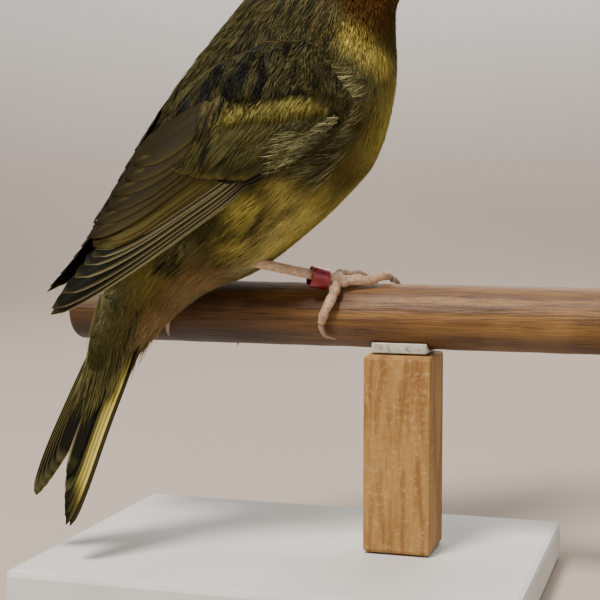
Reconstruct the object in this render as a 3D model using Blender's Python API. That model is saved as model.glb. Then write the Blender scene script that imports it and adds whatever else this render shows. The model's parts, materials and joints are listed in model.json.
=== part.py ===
"""A life-size canary gripping a cut length of round perch, held by a plain display stand.

Run with: blender --background --python part.py
The frame is in metres, +Z up. The origin is the centre of the underside of the base, and +X runs
along the perch. Sizes below are written in millimetres and multiplied by MM.
The bird is drawn in its own frame: forward, left and up, in millimetres, with its origin on its
middle plane at the height of the perch's axis.
"""

import math

import bmesh
import bpy
from mathutils import Quaternion, Vector
from mathutils.bvhtree import BVHTree

MM = 0.001
GAP = 0.3

# Stand and perch
PERCH_RADIUS = 6.35
PERCH_LEFT = -56.3
PERCH_RIGHT = 58.0
PERCH_END_ROUND = 1.6
PERCH_SIDES = 32
TAIL_CLEARANCE = 5.0
TAIL_DROP = 41.5
BASE_SIZE = (96.0, 70.0, 8.0)
BASE_ROUND = 1.2
POST_WIDTH = 13.4
POST_ROUND = 0.7
GLUE_THICKNESS = 0.9
PERCH_HEIGHT = BASE_SIZE[2] + TAIL_CLEARANCE + TAIL_DROP
FOOT_X = 6.0
FOOT_Y = 3.0
POST_X = 14.2

# The bird's stance: its heading is measured from the perch, anticlockwise from above
HEADING = 43.0
LEAN = 6.0
STANCE_HALF = 9.0
HEAD_TURN = -14.0
NECK_PIVOT = 4.0

# Body outline in the middle plane, from the bill's root to the root of the tail.
# Each row: name, back (forward, up), front (forward, up), half width, share of the head's turn, twist
BODY_RINGS = (
    ("bill root", (19.7, 80.2), (20.3, 74.0), 3.3, 1.0, 0),
    ("lores", (18.4, 82.6), (19.9, 73.1), 5.0, 1.0, 0),
    ("forehead", (15.8, 85.2), (19.3, 72.3), 6.6, 1.0, 0),
    ("eyes", (11.6, 86.8), (18.3, 71.4), 7.9, 1.0, 0),
    ("crown", (6.0, 86.4), (17.2, 69.8), 8.5, 0.95, 0),
    ("hind crown", (-0.2, 84.0), (15.8, 67.2), 9.0, 0.85, 0),
    ("nape", (-3.4, 77.9), (14.3, 64.0), 9.9, 0.65, 0),
    ("neck", (-7.9, 72.4), (13.0, 61.2), 11.6, 0.4, 0),
    ("neck root", (-12.9, 66.3), (12.5, 56.6), 14.0, 0.2, 0),
    ("shoulders", (-21.6, 56.2), (12.9, 45.5), 16.4, 0.0, 0),
    ("breast", (-28.5, 47.2), (9.8, 32.1), 17.2, 0.0, 0),
    ("back", (-32.0, 38.6), (3.1, 23.9), 16.4, 0.0, 0),
    ("belly", (-35.4, 30.3), (-5.4, 16.3), 14.6, 0.0, 0),
    ("vent", (-38.5, 21.1), (-15.4, 9.1), 11.9, 0.0, 0),
    ("rump", (-41.3, 12.6), (-25.8, 5.2), 9.3, 0.0, 2),
    ("tail root", (-44.4, 5.3), (-33.0, -0.1), 7.2, 0.0, 8),
    ("tail coverts", (-47.0, -1.9), (-37.5, -5.1), 5.2, 0.0, 15),
    ("covert ends", (-48.0, -8.6), (-41.6, -10.0), 3.4, 0.0, 20),
)
BODY_SIDES = 28
ROUNDNESS = 2.12
EGG_SHAPE = 0.1
HEAD_CUT = 6.45
NECK_CUT = 8.5
TAIL_CUT = 14.6
CUT_GAP = 0.36

# Head details, before the head is turned
EYE_AT = (12.6, 7.0, 79.4)
EYE_RADIUS = 2.5
EYE_SET_IN = 1.35
LID_THICKNESS = 0.45
BILL_LENGTH = 8.6
BILL_ROOT = (20.1, 0.0, 77.0)
BILL_DROOP = 6.0
BILL_HALF_WIDTH = 3.2
BILL_UPPER_HEIGHT = 3.7
BILL_LOWER_HEIGHT = 2.9
NOSTRIL_RADIUS = 0.47

# Wings: chord coordinates run from the wrist to the tip, and across towards the back
WRIST = (-7.2, 42.7)
WING_SLOPE = 39.1
LEFT_WING_SHIFT = (3.6, -1.6)
LEFT_WING_SLOPE = 37.9
WING_CLEAR = 0.55
VANE_THICKNESS = 0.5
UNEVEN = 0.0093
WING_DEPTH = 0.86

# Tail
TAIL_ROOT = (-39.6, 0.0, 3.2)
TAIL_END = (-55.3, 0.0, -36.0)
TAIL_TWIST = 20.0

# Legs
SHANK_RADII = (0.95, 0.95, 1.0, 1.15)
PALM_RADIUS = 1.5
PALM_OUT = PERCH_RADIUS + GAP + 1.65
LEFT_FOOT = -31.0
TOE_RADIUS = 1.08
CLAW_RADIUS = 0.5
CLAW_GAP_TURN = 4.5
RING_INNER = 1.75
RING_OUTER = 2.15
RING_LENGTH = 3.5
RING_BEFORE_PALM = 2.1
RING_SAG = 0.42

# Colours: red, green, blue, then roughness
FINISHES = {
    "plumage_breast": (0.42, 0.36, 0.10, 0.8),
    "plumage_head": (0.40, 0.30, 0.06, 0.8),
    "wing_feathers": (0.10, 0.09, 0.05, 0.7),
    "tail_feathers": (0.09, 0.08, 0.05, 0.7),
    "bill_horn": (0.62, 0.48, 0.36, 0.45),
    "eye": (0.01, 0.008, 0.006, 0.08),
    "leg_skin": (0.60, 0.42, 0.30, 0.55),
    "claw_horn": (0.35, 0.24, 0.16, 0.4),
    "ring": (0.45, 0.01, 0.03, 0.3),
    "perch_wood": (0.36, 0.22, 0.10, 0.6),
    "post_wood": (0.55, 0.34, 0.15, 0.7),
    "glue": (0.55, 0.52, 0.42, 0.35),
    "base_paint": (0.80, 0.79, 0.76, 0.6),
}

PERCH_AXIS = Vector((FOOT_X, FOOT_Y, PERCH_HEIGHT))
FORWARD = Vector((math.cos(math.radians(HEADING)), math.sin(math.radians(HEADING)), 0))
LEVEL_LEFT = Vector((-FORWARD.y, FORWARD.x, 0))
LEFT = Quaternion(FORWARD, math.radians(LEAN)) @ LEVEL_LEFT
UP = FORWARD.cross(LEFT)
BIRD_ORIGIN = PERCH_AXIS + LEVEL_LEFT * STANCE_HALF


def world(point):
    """A point of the bird's frame, in millimetres, as a place in the model, in metres."""
    forward, left, up = point
    return (BIRD_ORIGIN + FORWARD * forward + LEFT * left + UP * up) * MM


def on_perch(along, angle, out):
    """A point round the perch: along it from the right foot, turned from its top, and out from its axis."""
    turn = math.radians(angle)
    return (PERCH_AXIS + Vector((along, out * math.sin(turn), out * math.cos(turn)))) * MM


def spline(rows, place):
    """Reads a list of number tuples at a fractional index, smoothly."""
    last = len(rows) - 1
    place = min(max(place, 0.0), float(last))
    start = min(int(place), last - 1)
    t = place - start
    before = rows[max(start - 1, 0)]
    after = rows[min(start + 2, last)]
    here, there = rows[start], rows[start + 1]
    found = []
    for a, b, c, d in zip(before, here, there, after):
        bend = 2 * b + (c - a) * t + (2 * a - 5 * b + 4 * c - d) * t * t + (3 * b - a - 3 * c + d) * t**3
        found.append(bend / 2)
    return found


def material(finish):
    """The finish's material, made once."""
    made = bpy.data.materials.get(finish)
    if made:
        return made
    made = bpy.data.materials.new(finish)
    made.use_nodes = True
    red, green, blue, roughness = FINISHES[finish]
    shader = made.node_tree.nodes["Principled BSDF"]
    shader.inputs["Base Color"].default_value = (red, green, blue, 1)
    shader.inputs["Roughness"].default_value = roughness
    made.diffuse_color = (red, green, blue, 1)
    return made


def new_object(name, form, finish, smooth=True):
    """Turns a bmesh into a linked object with its faces pointing out."""
    bmesh.ops.recalc_face_normals(form, faces=form.faces)
    mesh = bpy.data.meshes.new(name)
    form.to_mesh(mesh)
    form.free()
    if mesh_volume(mesh) < 0:
        mesh.flip_normals()
    mesh.materials.append(material(finish))
    if smooth:
        mesh.shade_smooth()
        mesh.set_sharp_from_angle(angle=math.radians(50))
    obj = bpy.data.objects.new(name, mesh)
    bpy.context.scene.collection.objects.link(obj)
    return obj


def mesh_volume(mesh):
    form = bmesh.new()
    form.from_mesh(mesh)
    volume = form.calc_volume(signed=True)
    form.free()
    return volume


def skin_rings(rings):
    """A closed bmesh through rings of points, with a flat cap of one face at each end."""
    form = bmesh.new()
    made = [[form.verts.new(point) for point in ring] for ring in rings]
    count = len(made[0])
    for first, second in zip(made, made[1:]):
        for i in range(count):
            j = (i + 1) % count
            quad = (first[i], first[j], second[j], second[i])
            form.faces.new(quad)
    form.faces.new(made[0][::-1])
    form.faces.new(made[-1])
    caps = form.faces[:][-2:]
    bmesh.ops.triangulate(form, faces=caps)
    return form


def flatten_faces(mesh):
    """Splits bent faces into flat triangles before a Boolean, alike on both faces of a thin vane."""
    form = bmesh.new()
    form.from_mesh(mesh)
    bmesh.ops.triangulate(form, faces=form.faces[:], quad_method="FIXED")
    form.to_mesh(mesh)
    form.free()


def apply_modifiers(obj):
    graph = bpy.context.evaluated_depsgraph_get()
    mesh = bpy.data.meshes.new_from_object(obj.evaluated_get(graph), depsgraph=graph)
    obj.modifiers.clear()
    old = obj.data
    obj.data = mesh
    bpy.data.meshes.remove(old)


def boolean(obj, others, operation, solver="EXACT"):
    """Joins or cuts with a collection of closed meshes, applies it, and removes them."""
    group = bpy.data.collections.new("operands")
    bpy.context.scene.collection.children.link(group)
    for operand in [obj, *others]:
        flatten_faces(operand.data)
    for other in others:
        bpy.context.scene.collection.objects.unlink(other)
        group.objects.link(other)
    modifier = obj.modifiers.new("join", "BOOLEAN")
    modifier.operation = operation
    modifier.operand_type = "COLLECTION"
    modifier.collection = group
    modifier.solver = solver
    bpy.context.view_layer.update()
    apply_modifiers(obj)
    for other in others:
        bpy.data.objects.remove(other)
    bpy.data.collections.remove(group)
    keep_largest(obj)
    return obj


def keep_largest(obj):
    """Keeps the largest closed surface of a mesh."""
    form = bmesh.new()
    form.from_mesh(obj.data)
    form.verts.ensure_lookup_table()
    seen = set()
    shells = []
    for vertex in form.verts:
        if vertex.index in seen:
            continue
        shell = [vertex]
        seen.add(vertex.index)
        for reached in shell:
            for edge in reached.link_edges:
                other = edge.other_vert(reached)
                if other.index not in seen:
                    seen.add(other.index)
                    shell.append(other)
        shells.append(shell)
    shells.sort(key=lambda shell: -span_of(shell))
    spare = [vertex for shell in shells[1:] for vertex in shell]
    bmesh.ops.delete(form, geom=spare, context="VERTS")
    bmesh.ops.triangulate(form, faces=form.faces[:], quad_method="BEAUTY", ngon_method="BEAUTY")
    form.to_mesh(obj.data)
    form.free()


def span_of(shell):
    """The size of the box round some vertices."""
    spread = [max(v.co[i] for v in shell) - min(v.co[i] for v in shell) for i in range(3)]
    return Vector(spread).length


def grown(obj, distance):
    """A copy of a closed mesh with its surface moved out, for cutting a neighbour clear of it."""
    copy = bpy.data.objects.new(obj.name + "_grown", obj.data.copy())
    bpy.context.scene.collection.objects.link(copy)
    form = bmesh.new()
    form.from_mesh(copy.data)
    form.normal_update()
    moves = [vertex.normal * distance * MM for vertex in form.verts]
    for vertex, move in zip(form.verts, moves):
        vertex.co += move
    form.to_mesh(copy.data)
    form.free()
    return copy


def tube(points, radii, sides, flat=1.0):
    """A closed tube through world points, with round sections whose radii are in millimetres."""
    points = [Vector(p) for p in points]
    rings = []
    side = None
    for i, point in enumerate(points):
        ahead = points[min(i + 1, len(points) - 1)] - points[max(i - 1, 0)]
        ahead.normalize()
        if side is None:
            side = ahead.orthogonal().normalized()
        side = (side - ahead * side.dot(ahead)).normalized()
        across = ahead.cross(side)
        ring = []
        for k in range(sides):
            turn = 2 * math.pi * k / sides
            ring.append(point + (side * math.cos(turn) + across * math.sin(turn) * flat) * radii[i] * MM)
        rings.append(ring)
    return skin_rings(rings)


def turned(point, share=1.0):
    """Turns a point of the head about the upright axis of the neck."""
    turn = math.radians(HEAD_TURN * share)
    forward, left, up = point
    ahead = forward - NECK_PIVOT
    return (
        NECK_PIVOT + ahead * math.cos(turn) - left * math.sin(turn),
        ahead * math.sin(turn) + left * math.cos(turn),
        up,
    )


def body_ring(place):
    """The points of one ring of the body, in the bird's frame."""
    rows = [(*back, *front, half, turn, twist) for _, back, front, half, turn, twist in BODY_RINGS]
    back_f, back_u, front_f, front_u, half, turn, twist = spline(rows, place)
    centre = Vector(((back_f + front_f) / 2, 0, (back_u + front_u) / 2))
    rise = Vector(((back_f - front_f) / 2, 0, (back_u - front_u) / 2))
    axis = rise.cross(Vector((0, 1, 0))).normalized()
    spin = Quaternion(axis, math.radians(-twist))
    points = []
    for k in range(BODY_SIDES):
        angle = 2 * math.pi * (k + 0.5) / BODY_SIDES
        high = math.copysign(abs(math.cos(angle)) ** (2 / ROUNDNESS), math.cos(angle))
        wide = math.copysign(abs(math.sin(angle)) ** (2 / ROUNDNESS), math.sin(angle))
        wide *= 1 - EGG_SHAPE * high
        offset = spin @ (rise * high + Vector((0, half * wide, 0)))
        points.append(turned(centre + offset, turn))
    return points


def body_length(name, finish, start, end, rings):
    """One length of the body between two places along it."""
    places = [start + (end - start) * i / (rings - 1) for i in range(rings)]
    return new_object(name, skin_rings([[world(p) for p in body_ring(s)] for s in places]), finish)


def ring_centre(place):
    points = [world(p) for p in body_ring(place)]
    return sum(points, Vector()) / len(points)


def half_cut(place):
    """Half of the thin cut at a place along the body, as a share of the step between rings."""
    step = 0.2
    spacing = (ring_centre(place + step) - ring_centre(place - step)).length / (2 * step)
    return CUT_GAP * MM / 2 / spacing


def make_body():
    """Head, neck and torso from one outline, parted by thin cuts."""
    neck_half, torso_half, tail_half = half_cut(HEAD_CUT), half_cut(NECK_CUT), half_cut(TAIL_CUT)
    head = body_length("head", "plumage_head", 0.0, HEAD_CUT - neck_half, 12)
    neck = body_length("neck", "plumage_head", HEAD_CUT + neck_half, NECK_CUT - torso_half, 5)
    torso = body_length("torso", "plumage_breast", NECK_CUT + torso_half, TAIL_CUT - tail_half, 14)
    return head, neck, torso


def ball(centre, radius, rings=9, sides=14):
    form = bmesh.new()
    bmesh.ops.create_uvsphere(form, u_segments=sides, v_segments=rings, radius=radius * MM)
    bmesh.ops.translate(form, verts=form.verts, vec=centre)
    return form


def eye_place(side):
    """The centre of an eye and the direction that it looks, in the model."""
    forward, left, up = EYE_AT
    centre = world(turned((forward, side * (left - EYE_SET_IN + 0.2), up)))
    look = (world(turned((forward + 0.25, side * (left + 1.0), up))) - centre).normalized()
    return centre, look


def lid_ring(side):
    """The rim of the lids round an eye."""
    centre, look = eye_place(side)
    across = look.orthogonal().normalized()
    over = look.cross(across)
    rim_out = EYE_RADIUS * 0.62
    rim_radius = math.sqrt((EYE_RADIUS + GAP) ** 2 - rim_out**2) + LID_THICKNESS * 0.4
    count = 14
    around = []
    for k in range(count):
        turn = 2 * math.pi * k / count
        spoke = across * math.cos(turn) + over * math.sin(turn)
        middle = centre + (look * rim_out + spoke * rim_radius) * MM
        section = []
        for j in range(5):
            bend = 2 * math.pi * j / 5
            section.append(middle + (look * math.cos(bend) + spoke * math.sin(bend)) * LID_THICKNESS * MM)
        around.append(section)
    form = bmesh.new()
    made = [[form.verts.new(p) for p in section] for section in around]
    for i in range(count):
        first, second = made[i], made[(i + 1) % count]
        for j in range(5):
            k = (j + 1) % 5
            form.faces.new((first[j], first[k], second[k], second[j]))
    return form


def make_eyes(head):
    """Eyes set in sockets that are cut in the head, with the lids' rims round them."""
    lids = [new_object("lids", lid_ring(side), "plumage_head") for side in (-1, 1)]
    boolean(head, lids, "UNION")
    sockets = []
    for side, name in ((-1, "eye_right"), (1, "eye_left")):
        centre, _ = eye_place(side)
        sockets.append(new_object("socket", ball(centre, EYE_RADIUS + GAP), "eye"))
        new_object(name, ball(centre, EYE_RADIUS), "eye")
    boolean(head, sockets, "DIFFERENCE")


def bill_half(sign, height, length, droop):
    """Half of a cone-shaped bill, above or below the line of the mouth."""
    rings = []
    steps = 7
    sides = 7
    for i in range(steps):
        t = i / (steps - 1)
        narrow = max(1 - t, 0.0) ** 0.8
        half_width = BILL_HALF_WIDTH * (0.96 if sign < 0 else 1.0) * narrow + 0.12
        tall = height * narrow ** (0.92 if sign > 0 else 1.0) + 0.2
        forward = BILL_ROOT[0] + GAP + 0.1 + length * t
        line = BILL_ROOT[2] + 0.1 - droop * t * t * 0.1
        ring = []
        for k in range(sides):
            angle = math.pi * k / (sides - 1)
            out = half_width * math.cos(angle)
            high = GAP / 2 + tall * math.sin(angle)
            ring.append(world(turned((forward, out, line + sign * high))))
        rings.append(ring)
    return skin_rings(rings)


def make_bill():
    upper = new_object("bill_upper", bill_half(1, BILL_UPPER_HEIGHT, BILL_LENGTH, BILL_DROOP), "bill_horn")
    new_object("bill_lower", bill_half(-1, BILL_LOWER_HEIGHT, BILL_LENGTH - 0.9, BILL_DROOP), "bill_horn")
    nostrils = []
    for side in (-1, 1):
        centre = world(turned((BILL_ROOT[0] + 1.9, side * 1.75, BILL_ROOT[2] + 2.7)))
        nostrils.append(new_object("nostril", ball(centre, NOSTRIL_RADIUS, 7, 9), "bill_horn"))
    boolean(upper, nostrils, "DIFFERENCE")


def wing_width(along):
    """How far across the folded wing reaches, from its lower edge to its upper one, at a place along it."""
    table = (
        (-4.0, -2.0, 12.0),
        (2.0, -4.6, 15.4),
        (10.0, -4.0, 17.0),
        (18.0, -3.0, 16.2),
        (26.0, -1.6, 13.6),
        (36.0, -1.6, 9.9),
        (44.0, -0.7, 6.7),
        (54.0, -0.4, 3.4),
        (66.0, -0.2, 0.6),
    )
    place = 0.0
    for i in range(len(table) - 1):
        if along >= table[i][0]:
            place = i + min((along - table[i][0]) / (table[i + 1][0] - table[i][0]), 1.0)
    return spline(table, place)[1:]


def wing_set_out(along, across):
    """How far the folded wing stands out from the middle plane where the body doesn't push it further."""
    table = (
        (14.0, 8.0),
        (16.0, 5.0),
        (16.0, 3.0),
        (14.6, 1.8),
        (12.5, 1.3),
        (10.4, 1.5),
        (8.4, 2.8),
        (6.4, 5.4),
    )
    low, high = spline(table, (along + 2.0) / 9.7)
    bottom, top = wing_width(along)
    share = min(max((across - bottom) / max(top - bottom, 1.0), 0.0), 1.0)
    return high + (low - high) * (1 - share**2.2) ** 0.6


class WingSheet:
    """The curved sheet that a folded wing's feathers lie in, over the side of the body."""

    def __init__(self, body, side):
        self.body = body
        self.side = side
        slope = math.radians(WING_SLOPE if side < 0 else LEFT_WING_SLOPE)
        self.along = Vector((-math.cos(slope), -math.sin(slope)))
        self.across = Vector((-math.sin(slope), math.cos(slope)))
        self.start = Vector(WRIST)
        if side > 0:
            back, rise = LEFT_WING_SHIFT
            self.start += self.across * rise - self.along * back

    def body_half(self, forward, up):
        """The body's half width at a place in the middle plane, or 0 outside it."""
        start = world((forward, self.side * 60, up))
        hit, _, _, _ = self.body.ray_cast(start, -LEFT * self.side)
        if hit is None:
            return 0.0
        reach = (hit / MM - BIRD_ORIGIN).dot(LEFT) * self.side
        return max(reach, 0.0)

    def flat_point(self, along, across):
        place = self.start + self.along * along + self.across * across
        body = self.body_half(place.x, place.y) + WING_CLEAR
        free = wing_set_out(along, across)
        soft = 0.8
        out = soft * math.log(math.exp(body / soft) + math.exp(free / soft))
        return Vector((place.x, self.side * out, place.y))

    def point(self, along, across, height):
        """A place in the sheet, raised from it, in the model."""
        step = 1.2
        here = self.flat_point(along, across)
        run = self.flat_point(along + step, across) - self.flat_point(along - step, across)
        rise = self.flat_point(along, across + step) - self.flat_point(along, across - step)
        normal = run.cross(rise).normalized()
        if normal.y * self.side < 0:
            normal = -normal
        return world(here + normal * height)


def vane_rings(place, root, tip, half, height, tilt, bow=0.0, steps=6, blunt=0.35):
    """Sections of one flat feather. place maps along, across and height to the model."""
    root, tip = Vector(root), Vector(tip)
    run = tip - root
    aside = Vector((-run.y, run.x)).normalized()
    rings = []
    for i in range(steps):
        t = i / (steps - 1)
        middle = root + run * t + aside * bow * math.sin(math.pi * t)
        fade = 1 - max(t - 0.62, 0.0) / 0.38
        wide = half * (0.55 + 0.45 * min(t / 0.35, 1.0)) * (blunt + (1 - blunt) * fade**0.6)
        if i == steps - 1:
            wide = half * blunt * 0.6
        lift = height[0] + (height[1] - height[0]) * t
        thick = VANE_THICKNESS if i < steps - 1 else VANE_THICKNESS * 0.6
        low, high = middle - aside * wide, middle + aside * wide
        rings.append(
            [
                place(low.x, low.y, lift + tilt),
                place(high.x, high.y, lift - tilt),
                place(high.x, high.y, lift - tilt + thick),
                place(low.x, low.y, lift + tilt + thick),
            ]
        )
    return rings


def uneven(count):
    """A small lift that differs from one feather to the next, so that no two faces coincide."""
    return UNEVEN * (count * 7 % 11)


def vane(*arguments, finish="wing_feathers", **options):
    return new_object("vane", skin_rings(vane_rings(*arguments, **options)), finish)


def wing_arm(sheet):
    """The covered arm of the folded wing, a low pillow over the shoulder and flank."""
    columns, rows = 9, 7
    top, bottom = [], []
    for i in range(columns):
        u = i / (columns - 1)
        along = -3.0 + 27.0 * u
        low, high = wing_width(along)
        swell = math.sin(math.pi * min(max(u, 0.03), 0.97)) ** 0.5
        middle = (low + high) / 2 + 0.2
        half = (high - low) / 2 * (0.45 + 0.5 * swell)
        upper, lower = [], []
        for j in range(rows):
            v = j / (rows - 1)
            across = middle + half * (2 * v - 1)
            round_off = math.sin(math.pi * min(max(v, 0.02), 0.98)) ** 0.5
            lower.append(sheet.point(along, across, -0.6))
            upper.append(sheet.point(along, across, 0.5 + 1.55 * swell * round_off))
        top.append(upper)
        bottom.append(lower)
    rings = [lower + upper[::-1] for lower, upper in zip(bottom, top)]
    return new_object("arm", skin_rings(rings), "wing_feathers")


def wing_vanes(sheet):
    """The wing's feathers in tiers, from the outermost primary at the bottom to the scapulars on top."""
    made = []

    def add(root, tip, half, height, tilt=0.1, **options):
        shift = uneven(len(made))
        height = [WING_DEPTH * each + shift for each in height]
        made.append(vane(sheet.point, root, tip, half, height, tilt + shift / 3, **options))

    tips = ((62.6, 0.5), (64.2, 0.5), (63.2, 0.9), (60.2, 1.7), (56.2, 2.3), (53.4, 3.0), (51.4, 3.4))
    for i, tip in enumerate(tips):
        root = (13.0, -0.3 + 0.62 * i)
        add(root, tip, 1.6, (0.3 + 0.155 * i, 0.2 + 0.17 * i), bow=-0.55 + 0.1 * i, steps=6)
    for i in range(4):
        root, tip = (14.0, 4.6 + 1.0 * i), (50.0 - 1.3 * i, 4.1 + 0.55 * i)
        add(root, tip, 1.9, (1.35 + 0.16 * i, 1.4 + 0.14 * i), blunt=0.5, steps=5)
    tertials = (
        ((15.0, 7.6), (47.6, 5.2), 2.2),
        ((15.0, 9.8), (42.8, 7.1), 2.4),
        ((14.0, 12.0), (36.6, 9.4), 2.5),
    )
    for i, (root, tip, half) in enumerate(tertials):
        add(root, tip, half, (1.93 + 0.17 * i, 2.04 + 0.21 * i), blunt=0.55, steps=5)
    for i in range(3):
        add((8.0, -1.6 + 0.9 * i), (23.4 + 0.9 * i, -0.9 + 1.05 * i), 1.15, (1.3, 1.45 + 0.15 * i), steps=4)
    add((1.0, -2.0), (16.0, -2.2), 1.15, (1.57, 1.76), steps=4)
    coverts = ((24.8, 2.3), (27.6, 4.2), (30.2, 6.4), (32.0, 8.5), (31.4, 10.4), (29.8, 12.0))
    for i, tip in enumerate(coverts):
        add((7.0 + 1.2 * i, 3.0 + 1.8 * i), tip, 1.6, (1.7, 2.35 + 0.07 * i), blunt=0.6, steps=4)
    medians = ((3.6, 2.2), (7.2, 4.0), (11.2, 6.0), (15.4, 7.8), (19.4, 9.6))
    for i, tip in enumerate(medians):
        lift = (2.1 + 0.06 * i, 2.8 + 0.09 * i)
        add((tip[0] - 8.0, tip[1] + 1.4 + 0.1 * i), tip, 1.8, lift, blunt=0.65, steps=4)
    for i in range(4):
        root, tip = (1.0 + 3.0 * i, 9.6 + 1.0 * i), (19.0 + 3.2 * i, 11.2 + 0.3 * i)
        add(root, tip, 2.1, (2.15 + 0.07 * i, 2.95 + 0.11 * i), blunt=0.6, steps=4)
    return made


def make_wing(name, body, side, torso):
    sheet = WingSheet(body, side)
    wing = wing_arm(sheet)
    boolean(wing, wing_vanes(sheet), "UNION")
    boolean(wing, [grown(torso, GAP)], "DIFFERENCE")
    wing.name = name
    wing.data.name = name
    return wing


def tail_frame():
    """The tail's origin and its directions along, across to the left, and out of its upper face."""
    root, end = Vector(TAIL_ROOT), Vector(TAIL_END)
    along = (end - root).normalized()
    spin = Quaternion(along, math.radians(-TAIL_TWIST))
    left = spin @ Vector((0, 1, 0))
    out = left.cross(along)
    if out.x > 0:
        out = -out
    return root, (end - root).length, along, left, out


def tail_point(along_by, across_by, height):
    root, _, along, left, out = tail_frame()
    return world(root + along * along_by + left * across_by + out * height)


def make_tail():
    """The tail's root with its coverts, and twelve tail feathers that overlap from the middle out."""
    tail = body_length("tail", "tail_feathers", TAIL_CUT + half_cut(TAIL_CUT), 17.0, 6)
    length = tail_frame()[1]
    vanes = []
    pairs = 6
    for side, bow in ((-1, 1.0), (1, 0.4)):
        for i in range(pairs):
            share = i / (pairs - 1)
            reach = length + 2.4 - 8.6 * (1 - share) ** 1.5 - (1.6 if side > 0 else 0.0)
            if i == pairs - 1:
                reach -= 1.0
            root = (2.0, side * (0.9 + 3.4 * share))
            tip = (reach, side * (2.1 + 4.5 * share))
            lift = 0.3 - 0.26 * i
            lift += uneven(len(vanes))
            tilt = -0.12 * side + uneven(len(vanes)) / 3
            vanes.append(
                vane(tail_point, root, tip, 2.15, (lift, lift), tilt, bow=bow, finish="tail_feathers")
            )
    for i in range(5):
        across = (i - 2) * 2.3
        tip = (21.0 - 2.0 * abs(i - 2), across)
        lift = (3.6, 0.9 + uneven(i))
        vanes.append(vane(tail_point, (2.0, across * 0.8), tip, 1.8, lift, 0, blunt=0.5, steps=5))
    for i in range(3):
        across = (i - 1) * 2.6
        tip = (13.5 - 1.2 * abs(i - 1), across)
        lift = (-3.8, -1.9 - uneven(i))
        vanes.append(vane(tail_point, (2.0, across * 0.8), tip, 2.0, lift, 0, blunt=0.45, steps=5))
    boolean(tail, vanes, "UNION")
    return tail


RIGHT_PALM = on_perch(1.5, -29.0, PALM_OUT)
LEFT_PALM = on_perch(LEFT_FOOT + 1.5, -22.0, PALM_OUT)
RIGHT_ANKLE = world((-20.0, -8.9, 12.2))
LEFT_ANKLE = world((-35.0, 9.8, 19.0))

# Toes of the right foot, then of the left: each a run over the perch, then its claw.
# Each place: along the perch from the foot, degrees from the perch's top (the far side is positive), lift
TOES = {
    "right": {
        "hind": (
            ((1.7, -44, 0.4), (1.3, -60, 0.15), (0.0, -84, 0.1), (-0.7, -100, 0)),
            ((-0.2, -118, 0.3), (1.8, -128, 0)),
        ),
        "inner": (
            ((1.4, -14, 0.3), (1.6, 10, 0.2), (2.0, 32, 0.1), (2.2, 50, 0)),
            ((2.5, 72, 0.3), (2.5, 92, 0)),
        ),
        "middle": (
            ((2.0, -16, 0.2), (4.2, 4, 0.2), (6.0, 26, 0.1), (7.4, 50, 0)),
            ((8.0, 70, 0.3), (8.3, 90, 0)),
        ),
        "outer": (
            ((2.4, -33, 0.4), (5.0, -27, 0.4), (7.8, -23, 0), (9.8, -7, 0.2), (11.0, 12, 0)),
            ((12.0, 30, 0.3), (12.6, 48, 0)),
        ),
    },
    "left": {
        "hind": (
            ((1.5, -40, 0.4), (0.7, -58, 0.15), (-0.8, -82, 0.1), (-1.8, -98, 0)),
            ((-2.4, -116, 0.3), (-2.6, -132, 0)),
        ),
        "inner": (
            ((3.0, -8, 0.4), (5.6, 20, 0.3), (8.0, 52, 0.1), (9.4, 84, 0)),
            ((9.6, 116, 0.6), (8.4, 148, 1.6)),
        ),
        "middle": (
            ((2.0, -8, 0.4), (3.0, 16, 0.3), (4.0, 44, 0.1), (4.6, 72, 0)),
            ((4.8, 92, 0.3), (4.9, 112, 0)),
        ),
        "outer": (
            ((0.8, -4, 0.3), (0.5, 16, 0.2), (0.2, 38, 0.1), (-0.2, 62, 0)),
            ((-0.5, 82, 0.3), (-0.9, 100, 0)),
        ),
    },
}


def make_leg(side, palm, ankle, thigh_rows, torso):
    """A feathered thigh, and the bare shank below it down to the foot."""
    run = palm - ankle
    ahead = run.normalized()
    start = ankle - ahead * 1.5 * MM
    end = palm - ahead * (PALM_RADIUS + GAP) * MM
    ends = [start, ankle + run * 0.2, ankle + run * 0.75, end]
    shank = new_object("shank_" + side, tube(ends, SHANK_RADII, 12), "leg_skin")
    points = [world(row[:3]) for row in thigh_rows]
    thigh = new_object("thigh_" + side, tube(points, [row[3] for row in thigh_rows], 16), "plumage_breast")
    boolean(thigh, [grown(torso, GAP)], "DIFFERENCE")
    boolean(thigh, [grown(shank, GAP)], "DIFFERENCE")
    boolean(shank, [grown(torso, GAP)], "DIFFERENCE")


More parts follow.
